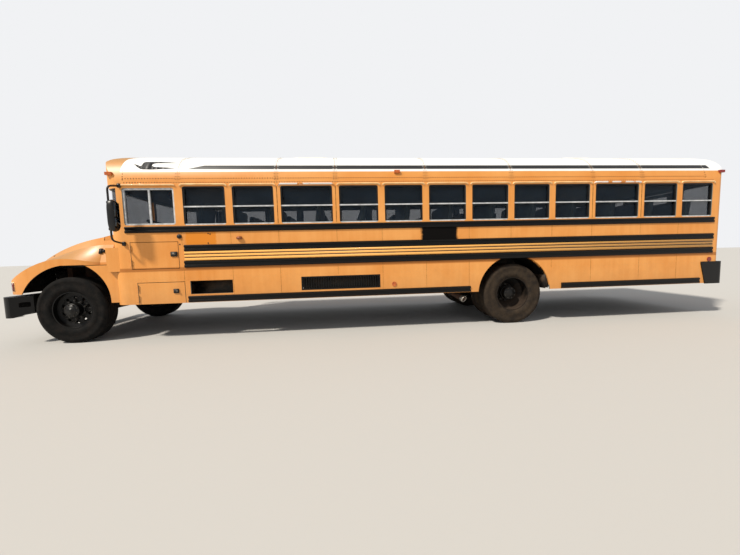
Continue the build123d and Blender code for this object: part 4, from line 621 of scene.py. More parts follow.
# dark brown for dirt in the laps and seams; on the posts beside the wide windows it is painted
# shade in open gaps
seam_dirt_and_gap_shade, tree, shader, place = material("seam_dirt_and_gap_shade",
                                          {"Roughness": 0.95, "Specular IOR Level": 0.1})
crumbs, tone = blotches(tree, place, 50, 5.0, 0.7, (0.4, "#5A3413"), (0.62, "#C07F38"))
feed(shader, {"Base Color": tone})
# heights of plain sheet between the rails, where the laps and rivets show
plain_spans = [(0.685, 0.943), (0.957, 1.106), (1.466, 1.643)]
arch_height, arch_reach = 0.530, 0.632


def on_sheet(x, z, side):
    """Whether a spot of side wall is plain sheet, clear of arch, doors, openings and paint."""
    if math.hypot(x - rear_axle_x, z - arch_height) < arch_reach + 0.05:
        return False
    if side > 0:
        return not -4.06 < x < -3.26  # the entrance
    if x < -3.26:
        return z > 0.9 and not 1.10 < z < 1.52  # clear of the battery and electrical doors
    if 0.47 < x < 1.09 and z > 1.44:
        return False  # the black patch
    return not (z < 0.92 and (-3.20 < x < -2.54 or -1.52 < x < -0.23))  # the openings


def seam_lines(shape):
    for side in (-1, 1):
        face = side * body_half
        for x in seams:
            for low, high in plain_spans:
                if on_sheet(x, low, side) and on_sheet(x, high, side):
                    y_low, y_high = sorted((face - side * 0.0004, face + side * 0.0005))
                    chamfered(shape, (x - 0.002, y_low, low - 0.012),
                              (x + 0.002, y_high, high + 0.012), 0.0002)


piece("side_seams", seam_lines, seam_dirt_and_gap_shade, "bus", smooth=False)


def side_rivets(shape):
    for side in (-1, 1):
        spots = []
        for x_seam in seams + [5.685]:
            for x in (x_seam - 0.022, x_seam + 0.022):
                for low, high in plain_spans:
                    spots += [(x, z) for z in spaced(low + 0.02, high - 0.02, 0.045)
                              if on_sheet(x, z, side)]
        spots += [(x, 0.928) for x in spaced(-4.03, 5.66, 0.075) if on_sheet(x, 0.928, side)]
        spots += [(x, 0.972) for x in spaced(-3.99, 5.62, 0.075) if on_sheet(x, 0.972, side)]
        heads = [((x, side * body_half, z), (0, side, 0)) for x, z in spots if abs(x) < 5.70]
        studs(shape, heads, radius=0.0055, height=0.0028)


piece("side_rivets", side_rivets, bus_enamel, "bus")


# Marks on the left side: the rubber pivot knob and the screws of the arm that was taken off, and
# a small marker lamp screwed over the sheets. Its moulded acrylic lens has faded to a dull amber;
# the lamp is drawn larger and darker brown than it is, a painted shadow for the shade it casts on
# the sheets.
rubber_black = dusty_black("black_moulded_rubber", "#0D0C0C", "#3A2F26", 0.35, 0.6)
knob_face = -body_half


def arm_remains(shape):
    turned(shape, [(0.034, -0.001), (0.034, 0.010), (0.030, 0.014), (0.018, 0.016), (0.014, 0.024),
                   (0.006, 0.026)], 28, (-3.282, knob_face, 1.588), (0, -1, 0), closed=False)
    studs(shape, [((x, knob_face, z), (0, -1, 0)) for x, z in
                  ((-3.286, 1.470), (-2.865, 1.626), (-2.837, 1.616), (-2.872, 1.480))],
          0.011, 0.006, 10)


piece("arm_remains", arm_remains, rubber_black, "bus")
marker_lens_and_shadow, tree, shader, place = material("faded_lens_painted_shadow",
                                            {"Roughness": 0.3, "Coat Weight": 0.5})
haze, tone = blotches(tree, place, 16.7, 4.0, 0.6, (0.35, "#7A3A10"), (0.7, "#B0602A"))
cells = add_node(tree, "TexVoronoi", {}, {"Vector": place, "Scale": per_metre(4.55)})
facets = add_node(tree, "Bump", {}, {"Strength": 0.4, "Distance": 0.001, "Height": cells})
feed(shader, {"Base Color": tone, "Normal": facets})


def side_markers(shape):
    # painted shadow: the block is larger than the lamp and its lens darker brown, taking in the
    # lamp's shadow on the sheets
    x, z = -2.405, 1.548
    chamfered(shape, (x - 0.042, knob_face - 0.034, z - 0.022),
              (x + 0.042, knob_face + 0.0005, z + 0.022), 0.009)


piece("side_markers", side_markers, marker_lens_and_shadow, "bus")

# Roof: steel sheets sprayed white over the yellow, to keep the cabin cool. The white is satin and
# faintly grimed. It stops short of the eaves and behind the front cap, and a black stripe with a
# slanted front end runs along it.
paint_line, cap_joint = 2.548, -4.06
stripe_low, stripe_high = 2.588, 2.656
roof_enamel, tree, shader, place = material("white_roof_enamel",
                                            {"Roughness": 0.45, "Coat Weight": 0.08,
                                             "Coat Roughness": 0.4})
axes = add_node(tree, "SeparateXYZ", {}, {0: place})
grime, white = blotches(tree, place, 400, 7.0, 0.7, (0.3, "#E9E8E4"), (0.65, "#F7F7F5"))
above = add_node(tree, "MapRange", {}, {"Value": axes.outputs["Z"], "From Min": paint_line - 0.002,
                                        "From Max": paint_line + 0.002})
behind = add_node(tree, "MapRange", {}, {"Value": axes.outputs["X"], "From Min": cap_joint - 0.002,
                                         "From Max": cap_joint + 0.002})
painted = add_node(tree, "Math", {"operation": "MULTIPLY"}, {0: above, 1: behind})
surface = add_node(tree, "Mix", {"data_type": "RGBA"},
                   {0: painted, 6: aged_yellow(tree, place), 7: white}).outputs[2]
# the stripe's ends: x less 3.88 of height at the front, x and half the height at the rear
slant = add_node(tree, "Math", {"operation": "MULTIPLY_ADD"},
                 {0: axes.outputs["Z"], 1: -3.88, 2: axes.outputs["X"]})
tail = add_node(tree, "Math", {"operation": "MULTIPLY_ADD"},
                {0: axes.outputs["Z"], 1: 0.5, 2: axes.outputs["X"]})
length = add_node(tree, "Math", {"operation": "MULTIPLY"},
                  {0: band(tree, slant, -13.19, 0.0, 0.01), 1: band(tree, tail, -9.0, 6.913, 0.01)})
stripe = add_node(tree, "Math", {"operation": "MULTIPLY"},
                  {0: band(tree, axes.outputs["Z"], stripe_low, stripe_high, 0.002), 1: length})
surface = add_node(tree, "Mix", {"data_type": "RGBA"},
                   {0: stripe, 6: surface, 7: linear("#232325")}).outputs[2]
ceiling = facing_middle(tree, place, cabin_middle, cabin_stretch)
surface = add_node(tree, "Mix", {"data_type": "RGBA"},
                   {0: ceiling, 6: surface, 7: linear("#9A9E96")}).outputs[2]
feed(shader, {"Base Color": surface})
sheet_relief(tree, place, shader)
dress(roof_enamel, "roof", "roof_caps")

# Flourish: a swoosh of glued black vinyl ahead of the stripe, cut as two tapering arms round a
# white tongue. It is satin black, weathered to a grey bloom with small blisters.
eave_radius, eave_y, eave_z = 0.45, 0.769, 2.4
crown_radius, crown_z = 2.2743, 0.7457
eave_run, crown_turn = 0.5111, 0.4351


def on_roof(run):
    """The roof at a run up from its eave: its y, its height and its outward direction."""
    if run < eave_run:
        turn = run / eave_radius
        return (eave_y + eave_radius * math.cos(turn), eave_z + eave_radius * math.sin(turn),
                (math.cos(turn), math.sin(turn)))
    turn = crown_turn - (run - eave_run) / crown_radius
    return (crown_radius * math.sin(turn), crown_z + crown_radius * math.cos(turn),
            (math.sin(turn), math.cos(turn)))


def roof_run(z):
    """The run up the roof's curved side at a height."""
    return eave_radius * math.asin((z - eave_z) / eave_radius)


stripe_vinyl, tree, shader, place = material("black_stripe_vinyl", {"Roughness": 0.5})
wear, tone = blotches(tree, place, 33.3, 5.0, 0.7, (0.35, "#1F1F21"), (0.75, "#3A3938"))
bubbles = add_node(tree, "Bump", {}, {"Strength": 0.1, "Distance": 0.0004, "Height": wear})
feed(shader, {"Base Color": tone, "Normal": bubbles})
# columns: x, low z and high z of the lower arm, low z and high z of the upper arm
swoosh = [
    (-3.904, 2.684, 2.687, None, None), (-3.835, 2.625, 2.662, None, None),
    (-3.790, 2.598, 2.644, None, None),
    (-3.780, 2.594, 2.708, None, None), (-3.757, 2.588, 2.727, None, None),
    (-3.6401, 2.585, 2.728, None, None),
    (-3.640, 2.585, 2.664, 2.666, 2.728), (-3.630, 2.585, 2.648, 2.683, 2.728),
    (-3.600, 2.586, 2.634, 2.698, 2.728), (-3.520, 2.589, 2.628, 2.702, 2.727),
    (-3.400, 2.598, 2.620, 2.703, 2.716), (-3.290, 2.606, 2.609, 2.7015, 2.7035),
]


def flourish(shape):
    """Each arm runs from column to column of the table, in eight strips over the roof's curve."""
    for side in (-1, 1):
        for low_at, high_at in ((1, 2), (3, 4)):
            for here, there in zip(swoosh, swoosh[1:]):
                if here[low_at] is None or there[low_at] is None:
                    continue
                corners = []
                for x, *levels in (here, there):
                    low, high = (roof_run(level)
                                 for level in (levels[low_at - 1], levels[high_at - 1]))
                    column = []
                    for step in range(9):
                        y, z, (ny, nz) = on_roof(low + (high - low) * step / 8)
                        column.append([shape.verts.new((x, side * (y + ny * out), z + nz * out))
                                       for out in (-0.002, 0.0012)])
                    corners.append(column)
                for step in range(8):
                    a, b = corners[0][step:step + 2]
                    d, c = corners[1][step:step + 2]
                    for layer in (0, 1):
                        shape.faces.new((a[layer], b[layer], c[layer], d[layer]))
                for step in (0, 8):
                    a, b = corners[0][step], corners[1][step]
                    shape.faces.new((a[0], a[1], b[1], b[0]))
                for column in corners:
                    for step in range(8):
                        shape.faces.new((column[step][0], column[step + 1][0], column[step + 1][1],
                                         column[step][1]))


piece("roof_flourish", flourish, stripe_vinyl, "bus")

# Roof seams and rivets: eight steel sheets lap over the bows, with rivets down both edges of each
# lap and two staggered rows along the eaves. The rivets are painted over; below the white each
# wears a ring of brown dirt, drawn as a wider dark head because the ring is too fine to show.
roof_seams = [-3.251, -1.813, -0.915, 0.523, 1.961, 3.399, 4.297]
rivet_dirt, tree, shader, place = material("dirt_ringed_rivets", {"Roughness": 0.7})
axes = add_node(tree, "SeparateXYZ", {}, {0: place})
above = add_node(tree, "MapRange", {}, {"Value": axes.outputs["Z"], "From Min": paint_line - 0.002,
                                        "From Max": paint_line + 0.002})
spread, ringed = blotches(tree, place, 200, 4.0, 0.7, (0.4, "#57290B"), (0.66, "#94551E"))
heads = add_node(tree, "Mix", {"data_type": "RGBA"}, {0: above, 6: ringed, 7: linear("#C6C3BA")})
skin = add_node(tree, "Bump", {}, {"Strength": 0.1, "Distance": 0.0004, "Height": spread})
feed(shader, {"Base Color": heads.outputs[2], "Normal": skin})


def roof_rivets(shape):
    spots = []
    for side in (-1, 1):
        for x_seam in roof_seams + [-4.046, 5.511]:
            for x in (x_seam - 0.024, x_seam + 0.024):
                for run in spaced(0.03, 1.45, 0.045):
                    y, z, (ny, nz) = on_roof(run)
                    if cap_joint < x < 5.53:
                        spots.append(((x, side * y, z), (0, side * ny, nz)))
        for x in spaced(-4.02, 5.50, 0.0385):
            y, z, (ny, nz) = on_roof(roof_run(2.446))
            spots.append(((x, side * y, z), (0, side * ny, nz)))
        spots += [((x + 0.019, side * body_half, 2.386), (0, side, 0))
                  for x in spaced(-4.02, 5.62, 0.0385)]
    studs(shape, spots, radius=0.0095, height=0.0032)


piece("roof_rivets", roof_rivets, rivet_dirt, "bus")


def stitch(shape, rings):
    """Faces between neighbouring rings of points, and one over each end."""
    for here, there in zip(rings, rings[1:]):
        for i in range(len(here)):
            j = (i + 1) % len(here)
            shape.faces.new((here[i], here[j], there[j], there[i]))
    shape.faces.new(rings[0])
    shape.faces.new(rings[-1])


lap_section = [(-0.0022, -0.002), (-0.0022, 0.001), (0.0022, 0.001), (0.0022, -0.002)]


def lap_lines(shape):
    """A dark line down each lap of the roof, broken into short straight lengths."""
    for side in (-1, 1):
        for x in roof_seams:
            runs = spaced(0.002, 1.46, 0.03)
            for low, high in zip(runs, runs[1:]):
                corners = []
                for run in (low, high):
                    y, z, (ny, nz) = on_roof(run)
                    corners.append([
                        shape.verts.new((x + along, side * (y + ny * out), z + nz * out))
                        for along, out in lap_section])
                stitch(shape, corners)


piece("roof_laps", lap_lines, seam_dirt_and_gap_shade, "bus", smooth=False)


# Drip lips: a rolled steel gutter over every window, its ends turned down. Its yellow enamel is
# drawn as a brushed cream, a painted highlight of the sun along it; over the two wide windows a
# white coat is flaking off the yellow.
def swept(shape, path, section, outward):
    """A closed section of (across, out) points carried along a path, out being along outward."""
    out = Vector(outward).normalized()
    points = [Vector(point) for point in path]
    rings = []
    for number, point in enumerate(points):
        before, after = points[max(number - 1, 0)], points[min(number + 1, len(points) - 1)]
        across = out.cross(after - before).normalized()
        rings.append([shape.verts.new(point + across * u + out * v) for u, v in section])
    stitch(shape, rings)


cream_highlight_enamel, tree, shader, place = material("cream_lip_painted_highlight",
                                           {"Roughness": 0.45, "Coat Weight": 0.1})
# painted highlight: the lips' pale cream stands for sun along their yellow enamel
wear, tone = blotches(tree, place, 125, 6.0, 0.7, (0.3, "#F0B068"), (0.62, "#FFDDA2"))
skin = add_node(tree, "Bump", {}, {"Strength": 0.1, "Distance": 0.0005, "Height": wear})
feed(shader, {"Base Color": tone, "Normal": skin})
flaking, tree, shader, place = material("flaking_white_lip", {"Roughness": 0.5})
flakes, tone = blotches(tree, place, 111.1, 4.0, 0.55, (0.52, "#F4F2EC"), (0.55, "#D98F45"))
skin = add_node(tree, "Bump", {}, {"Strength": 0.3, "Distance": 0.0008, "Height": tone})
feed(shader, {"Base Color": tone, "Normal": skin})
lip_height = 2.358
lip_section = [(-0.012, -0.001), (-0.012, 0.006), (-0.006, 0.016), (0.003, 0.020), (0.010, 0.016),
               (0.012, 0.006), (0.012, -0.001)]


def lips(spans):
    """A mesh maker for the lips over the given spans, on both sides."""
    def maker(shape):
        for side in (-1, 1):
            for low, high in spans:
                line = [(low - 0.026, window_top), (low - 0.022, 2.344), (low - 0.010, 2.354),
                        (low + 0.01, lip_height)]
                line += [(x, lip_height) for x in spaced(low + 0.1, high - 0.1, 0.1)]
                line += [(high - 0.01, lip_height), (high + 0.010, 2.354), (high + 0.022, 2.344),
                         (high + 0.026, window_top)]
                swept(shape, [(x, side * body_half, z) for x, z in line], lip_section, (0, side, 0))
    return maker


wide = [windows[2], windows[9]]
piece("drip_lips", lips([span for span in windows if span not in wide]), cream_highlight_enamel, "bus")
piece("flaking_lips", lips(wide), flaking, "bus")


def driver_lip(shape):
    low, high = -4.045, -3.3185
    line = [(low - 0.02, 2.336), (low - 0.012, 2.350)]
    line += [(x, 2.354) for x in spaced(low + 0.02, high - 0.02, 0.1)]
    line += [(high + 0.012, 2.350), (high + 0.02, 2.336)]
    swept(shape, [(x, -body_half, z) for x, z in line], lip_section, (0, -1, 0))


piece("driver_drip_lip", driver_lip, cream_highlight_enamel, "bus")


def post_gaps(shape):
    """Narrow dark strips up the posts beside the wide windows: painted shade in the gaps where a
    lap stands open.
    """
    for x in (-1.813, -0.915, 3.399, 4.297):
        for side in (-1, 1):
            y_low, y_high = sorted((side * (body_half - 0.0004), side * (body_half + 0.001)))
            chamfered(shape, (x - 0.005, y_low, 1.765), (x + 0.005, y_high, 2.325), 0.0004)


piece("post_gaps", post_gaps, seam_dirt_and_gap_shade, "bus", smooth=False)

# Hood and cowl: the hood is one moulded fibreglass shell with both fenders, and the cowl is
# pressed steel. Outside they have the same faded enamel, a little glossier on the smooth
# moulding; the hood's underside is bare black fibreglass.
hood_enamel, tree, shader, place = material("faded_hood_enamel",
                                            {"Roughness": 0.42, "Coat Weight": 0.15,
                                             "Coat Roughness": 0.3})
under = facing_middle(tree, place, (-4.9, 0.0, 0.90), (0.35, 1.0, 1.0))
surface = add_node(tree, "Mix", {"data_type": "RGBA"},
                   {0: under, 6: aged_yellow(tree, place), 7: linear("#15110E")}).outputs[2]
feed(shader, {"Base Color": surface})
sheet_relief(tree, place, shader)
dress(hood_enamel, "hood", "cowl")

# Rub rails, bumpers, entrance doors and grilles: rolled and pressed steel in sprayed black
# enamel, satin and clean where rain washes it, bolted or riveted over the yellow.
trim_enamel = dusty_black("black_trim_enamel", "#040404", "#33281F", 0.10, 0.33,
                          {"Specular IOR Level": 0.3})
dress(trim_enamel, "rub_rails", "front_bumper", "rear_bumper", "entrance_door_front",
      "entrance_door_rear", "grille", "skirt_grille")

# Window frames: extruded aluminium. The outer frames are painted satin black, while the bars
# across each pane, the sills and the driver's window are bare, frosted white by oxide.
window_black = dusty_black("black_window_frame", "#101011", "#4A423A", 0.25, 0.42,
                           {"Specular IOR Level": 0.35})
tree = window_black.node_tree
shader = tree.nodes["Principled BSDF"]
place = add_node(tree, "TexCoord").outputs["Object"]
axes = add_node(tree, "SeparateXYZ", {}, {0: place})
frost, pale = blotches(tree, place, 71.4, 6.0, 0.7, (0.35, "#A3A6A8"), (0.65, "#DDDFE0"))
driver = band(tree, axes.outputs["X"], -4.06, -3.29, 0.002)
bars = band(tree, axes.outputs["Z"], 2.022, 2.042, 0.002)
sills = band(tree, axes.outputs["Z"], 1.70, 1.776, 0.002)
behind = add_node(tree, "Math", {"operation": "GREATER_THAN"}, {0: axes.outputs["X"], 1: -3.25})
strips = add_node(tree, "Math", {"operation": "MAXIMUM"}, {0: bars, 1: sills})
strips = add_node(tree, "Math", {"operation": "MULTIPLY"}, {0: strips, 1: behind})
bright = add_node(tree, "Math", {"operation": "MAXIMUM"}, {0: strips, 1: driver})
old_colour = shader.inputs["Base Color"].links[0].from_socket
metal = add_node(tree, "Mix", {"data_type": "RGBA"}, {0: bright, 6: old_colour, 7: pale})
feed(shader, {"Base Color": metal.outputs[2]})
dress(window_black, "window_frames")

# Mirrors: a moulded ABS shell on a bowed steel tube each side, with two silvered glasses facing
# back. The plastic is black with a soft shine; clamps hold the tube's feet on the body's front
# corners.
mirror_plastic = dusty_black("moulded_mirror_plastic", "#0B0B0C", "#3A322B", 0.3, 0.32,
                             {"Specular IOR Level": 0.5})
silvered, tree, shader, place = material("silvered_glass", {"Metallic": 1.0, "Roughness": 0.04})
spots, tone = blotches(tree, place, 55.6, 6.0, 0.7, (0.4, "#3C4146"), (0.7, "#5A6066"))
dull = add_node(tree, "MapRange", {}, {"Value": spots, "To Min": 0.02, "To Max": 0.18})
ripple = add_node(tree, "Bump", {}, {"Strength": 0.03, "Distance": 0.001, "Height": spots})
feed(shader, {"Base Color": tone, "Roughness": dull, "Normal": ripple})


def tube_path(points, radius):
    """A path through points, with each inner corner rounded off in six short steps."""
    path = [Vector(points[0])]
    for before, corner, after in zip(points, points[1:], points[2:]):
        corner = Vector(corner)
        back = (Vector(before) - corner).normalized() * radius
        on = (Vector(after) - corner).normalized() * radius
        for step in range(7):
            t = step / 6
            path.append(corner + back * (1 - t) ** 2 + on * t ** 2)
    return path + [Vector(points[-1])]


def tube(shape, path, radius, steps=14):
    """A round tube along a path, closed at its ends."""
    rings = []
    side = (path[1] - path[0]).orthogonal().normalized()
    for number, point in enumerate(path):
        along = (path[min(number + 1, len(path) - 1)] - path[max(number - 1, 0)]).normalized()
        side = (side - along * side.dot(along)).normalized()
        up = along.cross(side)
        rings.append([shape.verts.new(point + (side * math.cos(a) + up * math.sin(a)) * radius)
                      for a in [2 * math.pi * k / steps for k in range(steps)]])
    stitch(shape, rings)


mirror_reach = 1.399
shell_middle, shell_half_height, shell_half_depth, shell_half_width = 1.885, 0.224, 0.059, 0.074
clamp_heights = (1.700, 2.070)
# columns: side, tube x, housing x
mirror_table = [(-1, -4.107, -4.055), (1, -4.145, -4.197)]


def mirror_bodies(shape):
    for side, tube_x, housing_x in mirror_table:
        reach = side * mirror_reach
        feet = [(-4.068, side * 1.2195, 2.343), (tube_x, reach, 2.303), (tube_x, reach, 1.535),
                (-4.068, side * 1.2195, 1.495)]
        tube(shape, tube_path(feet, 0.06), 0.013)
        for x, y, z in (feet[0], feet[3]):
            chamfered(shape, (x - 0.020, side * 1.234 - 0.014, z - 0.030),
                      (x + 0.024, side * 1.234 + 0.014, z + 0.030), 0.005)
            turned(shape, [(0.020, 0.0), (0.020, 0.010), (0.017, 0.0135), (0.013, 0.0135)], 24,
                   (x, side * 1.2192, z), (0, side, 0), closed=False)
        for z in clamp_heights:
            chamfered(shape, (min(tube_x, housing_x) - 0.018, reach - 0.022, z - 0.020),
                      (max(tube_x, housing_x) + 0.018, reach + 0.022, z + 0.020), 0.005)
        rings = []
        for level in range(25):
            t = level / 12 - 1
            swell = max(0.02, 1 - abs(t) ** 5) ** 0.42
            ring = []
            for k in range(40):
                a = 2 * math.pi * k / 40
                u = math.copysign(abs(math.cos(a)) ** 0.75, math.cos(a))
                v = math.copysign(abs(math.sin(a)) ** 0.75, math.sin(a))
                u = min(u, 0.80)  # flat at the back, where the glasses sit
                ring.append(shape.verts.new((housing_x + shell_half_depth * u * swell,
                                             reach + shell_half_width * v * swell,
                                             shell_middle + shell_half_height * t)))
            rings.append(ring)
        stitch(shape, rings)


mirror_pieces = piece("moulded_mirrors", mirror_bodies, mirror_plastic, "bus")
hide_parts("mirrors")


def mirror_glass(shape):
    for side, tube_x, housing_x in mirror_table:
        for low, high in ((1.735, 1.850), (1.870, 2.065)):
            chamfered(shape, (housing_x + 0.0465, side * mirror_reach - 0.052, low),
                      (housing_x + 0.0500, side * mirror_reach + 0.052, high), 0.0015)


piece("mirror_glass", mirror_glass, silvered, "bus")


# Glass: tempered panes with a grey tint, bonded in their frames. A film of dust dulls their
# reflections in patches; each pane has two faces, so it is made half as dark as it looks.
window_glass, tree, shader, place = material("tempered_glass", {"Roughness": 0.03, "Alpha": 0.42,
                                                                "Specular IOR Level": 0.3})
film, tone = blotches(tree, place, 333.3, 6.0, 0.7, (0.3, "#0E1620"), (0.8, "#22303E"))
sheen = add_node(tree, "MapRange", {}, {"Value": film, "To Min": 0.02, "To Max": 0.10})
ripple = add_node(tree, "Bump", {}, {"Strength": 0.02, "Distance": 0.002, "Height": film})
feed(shader, {"Base Color": tone, "Roughness": sheen, "Normal": ripple})
dress(window_glass, "body_glass", "entrance_glass_front", "entrance_glass_rear", "rear_door_glass")

# Seats: high-backed benches of foam in dark grey-green vinyl, stretched and stapled over plywood
# on tube frames. Each cushion and back is crowned, its edges rolled over to a flat seam. The
# vinyl has a low sheen, a leather grain and shallow wrinkles.
seat_vinyl, tree, shader, place = material("bench_vinyl", {"Roughness": 0.45, "Coat Weight": 0.1})
age, tone = blotches(tree, place, 250, 6.0, 0.65, (0.3, "#1E2624"), (0.75, "#3B4744"))
grain = add_node(tree, "TexVoronoi", {}, {"Vector": place, "Scale": per_metre(3.13)})
leather = add_node(tree, "Bump", {}, {"Strength": 0.25, "Distance": 0.0006, "Height": grain})
wrinkles = add_node(tree, "Bump", {}, {"Strength": 0.3, "Distance": 0.006, "Height": age,
                                       "Normal": leather})
feed(shader, {"Base Color": tone, "Normal": wrinkles})


def pad(shape, section, y_low, y_high, crown, round_off):
    """A padded form: an XZ outline drawn across in Y, its edges rounded and its faces crowned."""
    middle = Vector((sum(x for x, z in section) / len(section), 0,
                     sum(z for x, z in section) / len(section)))
    stations = [0.0, 0.012, 0.035, 0.08, 0.2, 0.35, 0.5, 0.65, 0.8, 0.92, 0.965, 0.988, 1.0]
    outline = []
    for i, (x, z) in enumerate(section):
        before, after = section[i - 1], section[(i + 1) % len(section)]
        here = Vector((x, z))
        for other in (before, after):
            span = Vector(other) - here
            outline.append(here + span.normalized() * min(round_off, span.length * 0.4))
        outline.insert(-1, here * 0.6 + (outline[-2] + outline[-1]) * 0.2)
    dense = []
    for a, b in zip(outline, outline[1:] + outline[:1]):
        count = max(1, round((b - a).length / 0.045))
        dense += [a + (b - a) * k / count for k in range(count)]
    rings = []
    for t in stations:
        edge = min(t, 1 - t) * (y_high - y_low)
        part = max(0.0, 1 - edge / round_off)
        shrink = round_off * (1 - math.sqrt(1 - part ** 2))
        puff = crown * math.sin(math.pi * t) ** 0.5
        ring = []
        for point in dense:
            inward = Vector((middle.x - point.x, middle.z - point.y))
            reach = inward.length
            pull = min(shrink, reach * 0.45) - puff * 0.35
            moved = point + inward.normalized() * pull
            ring.append(shape.verts.new((moved.x, y_low + (y_high - y_low) * t, moved.y)))
        rings.append(ring)
    stitch(shape, rings)


bench_front, bench_pitch, bench_count = -3.101, 0.719, 12
bench_rows = [bench_front + bench_pitch * k for k in range(bench_count)]
bench_sides = [(-1.158, -0.165), (0.165, 1.158)]


def benches(shape):
    for x in bench_rows:
        for y_low, y_high in bench_sides:
            pad(shape, [(x + 0.004, 1.414), (x + 0.004, 1.520), (x + 0.362, 1.506),
                        (x + 0.362, 1.414)],
                y_low + 0.004, y_high - 0.004, 0.012, 0.030)
            pad(shape, [(x + 0.376, 1.414), (x + 0.376, 1.510), (x + 0.444, 2.054),
                        (x + 0.520, 2.054), (x + 0.449, 1.414)],
                y_low + 0.004, y_high - 0.004, 0.010, 0.028)


passenger_pads = piece("padded_benches", benches, seat_vinyl, "bus")
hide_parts("passenger_seats")


def driver_pads(shape):
    """The driver's cushion and back, and the vinyl-skirted pedestal under them."""
    x, y = -3.415, -0.640
    pad(shape, [(x - 0.236, 1.484), (x - 0.236, 1.596), (x + 0.186, 1.582), (x + 0.205, 1.484)],
        y - 0.236, y + 0.236, 0.014, 0.034)
    pad(shape, [(x + 0.212, 1.484), (x + 0.198, 1.60), (x + 0.274, 2.134), (x + 0.364, 2.134),
                (x + 0.276, 1.484)],
        y - 0.236, y + 0.236, 0.012, 0.034)
    pad(shape, [(x - 0.150, 1.104), (x - 0.150, 1.480), (x + 0.200, 1.480), (x + 0.200, 1.104)],
        y - 0.150, y + 0.150, 0.0, 0.02)


driver_cushions = piece("padded_driver_seat", driver_pads, seat_vinyl, "bus")
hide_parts("driver_seat")

# Seat frames, dashboard and steering wheel: bent steel tube in grey baked enamel, and black
# moulded plastic. Both are low in shine, and dust has settled on what faces up.
tube_enamel = dusty_black("grey_tube_enamel", "#3F4240", "#6B6358", 0.4, 0.5)
dress(tube_enamel, "seat_frames")
dash_plastic = dusty_black("moulded_dash_plastic", "#1C1C1D", "#5A5148", 0.4, 0.55)
dress(dash_plastic, "dashboard", "steering_wheel")


# Lamps: moulded polycarbonate lenses over reflectors, glossy but crazed and faded by the sun, with
# a pattern of small flutes inside. Round black bezels hold the flashers and the tail lamps.
def lens(name, deep, pale):
    """A sun-crazed lens between two colours, with moulded flutes."""
    made, tree, shader, place = material(name, {"Roughness": 0.18, "Coat Weight": 0.6,
                                                "Specular IOR Level": 0.5})
    haze, tone = blotches(tree, place, 40, 5.0, 0.7, (0.35, deep), (0.7, pale))
    flutes = add_node(tree, "TexVoronoi", {}, {"Vector": place, "Scale": per_metre(6.25)})
    relief = add_node(tree, "Bump", {}, {"Strength": 0.35, "Distance": 0.0015, "Height": flutes})
    feed(shader, {"Base Color": tone, "Normal": relief})
    return made


dress(lens("amber_lens", "#9A3E0A", "#E0762A"), "amber_lamps")
dress(lens("red_lens", "#5E0F0B", "#A8231A"), "red_lamps")
clear_lens = lens("clear_lens", "#B9C0C4", "#F2F4F4")
dress(mirror_plastic, "headlamps")
flasher_spread = (0.56, 0.80)
lens_radius = 0.0905
flasher_face = min(corner[0] for corner in nodes["amber_lamps"].bound_box)


def bezel(shape, inner, outer, middle, direction):
    """One bezel round a lamp: a ring whose inner and outer walls reach back by their depths."""
    ring = [(lens_radius, -inner), (0.100, -outer), (0.101, 0.000), (0.096, 0.002),
            (lens_radius, 0.001)]
    turned(shape, ring, 40, middle, direction)


def rear_bezels(shape):
    for y in flasher_spread:
        for side in (-1, 1):
            bezel(shape, 0.016, 0.015, (5.871, side * y, 2.47), (1, 0, 0))
    for side in (-1, 1):
        bezel(shape, 0.014, 0.013, (5.883, side * 0.95, 1.20), (1, 0, 0))


piece("rear_lamp_bezels", rear_bezels, mirror_plastic, "bus")


def flasher_bezels(shape):
    for y in flasher_spread:
        for side in (-1, 1):
            bezel(shape, 0.030, 0.028, (flasher_face, side * y, 2.56), (-1, 0, 0))


piece("flasher_bezels", flasher_bezels, mirror_plastic, "bus")

# Headlamps: a round sealed beam of fluted glass in a moulded black surround each side, clipped
# into the hood. Behind the grille's bars a black woven screen is stretched, dull with dust.
beam_x, beam_y, beam_z = -5.8420, 0.525, 0.950
beam_radius = 0.0585


def headlamp_beams(shape):
    dome = [(0.0, -0.012), (0.020, -0.0115), (0.040, -0.010), (0.054, -0.007),
            (beam_radius, -0.004), (beam_radius, 0.003)]
    for side in (-1, 1):
        turned(shape, dome, 40, (beam_x, side * beam_y, beam_z), (1, 0, 0), closed=False)


piece("headlamp_beams", headlamp_beams, clear_lens, "hood_unit")


def headlamp_surrounds(shape):
    ring = [(0.0590, -0.003), (0.062, -0.010), (0.067, -0.010), (0.069, -0.002), (0.069, 0.002),
            (0.059, 0.002)]
    # columns: low y, high y, low z, high z of the four bars round the ring
    bars = [(-0.094, -0.086, -0.069, 0.069), (0.086, 0.094, -0.069, 0.069),
            (-0.094, 0.094, -0.069, -0.062), (-0.094, 0.094, 0.062, 0.069)]
    for side in (-1, 1):
        turned(shape, ring, 40, (beam_x, side * beam_y, beam_z), (1, 0, 0))
        for y_low, y_high, z_low, z_high in bars:
            chamfered(shape, (-5.849, side * beam_y + y_low, beam_z + z_low),
                      (-5.841, side * beam_y + y_high, beam_z + z_high), 0.002)


piece("headlamp_surrounds", headlamp_surrounds, mirror_plastic, "hood_unit")


def insect_screen(shape):
    """Crossed wires on a backing sheet, 22 mm apart: coarser than real ones, so that they show."""
    for y in spaced(-0.374, 0.374, 0.022):
        chamfered(shape, (-5.8085, y - 0.0035, 0.862), (-5.8065, y + 0.0035, 1.083), 0.0005)
    for z in spaced(0.864, 1.081, 0.022):
        chamfered(shape, (-5.8065, -0.376, z - 0.0035), (-5.8045, 0.376, z + 0.0035), 0.0005)
    chamfered(shape, (-5.8043, -0.385, 0.850), (-5.8015, 0.385, 1.095), 0.001)


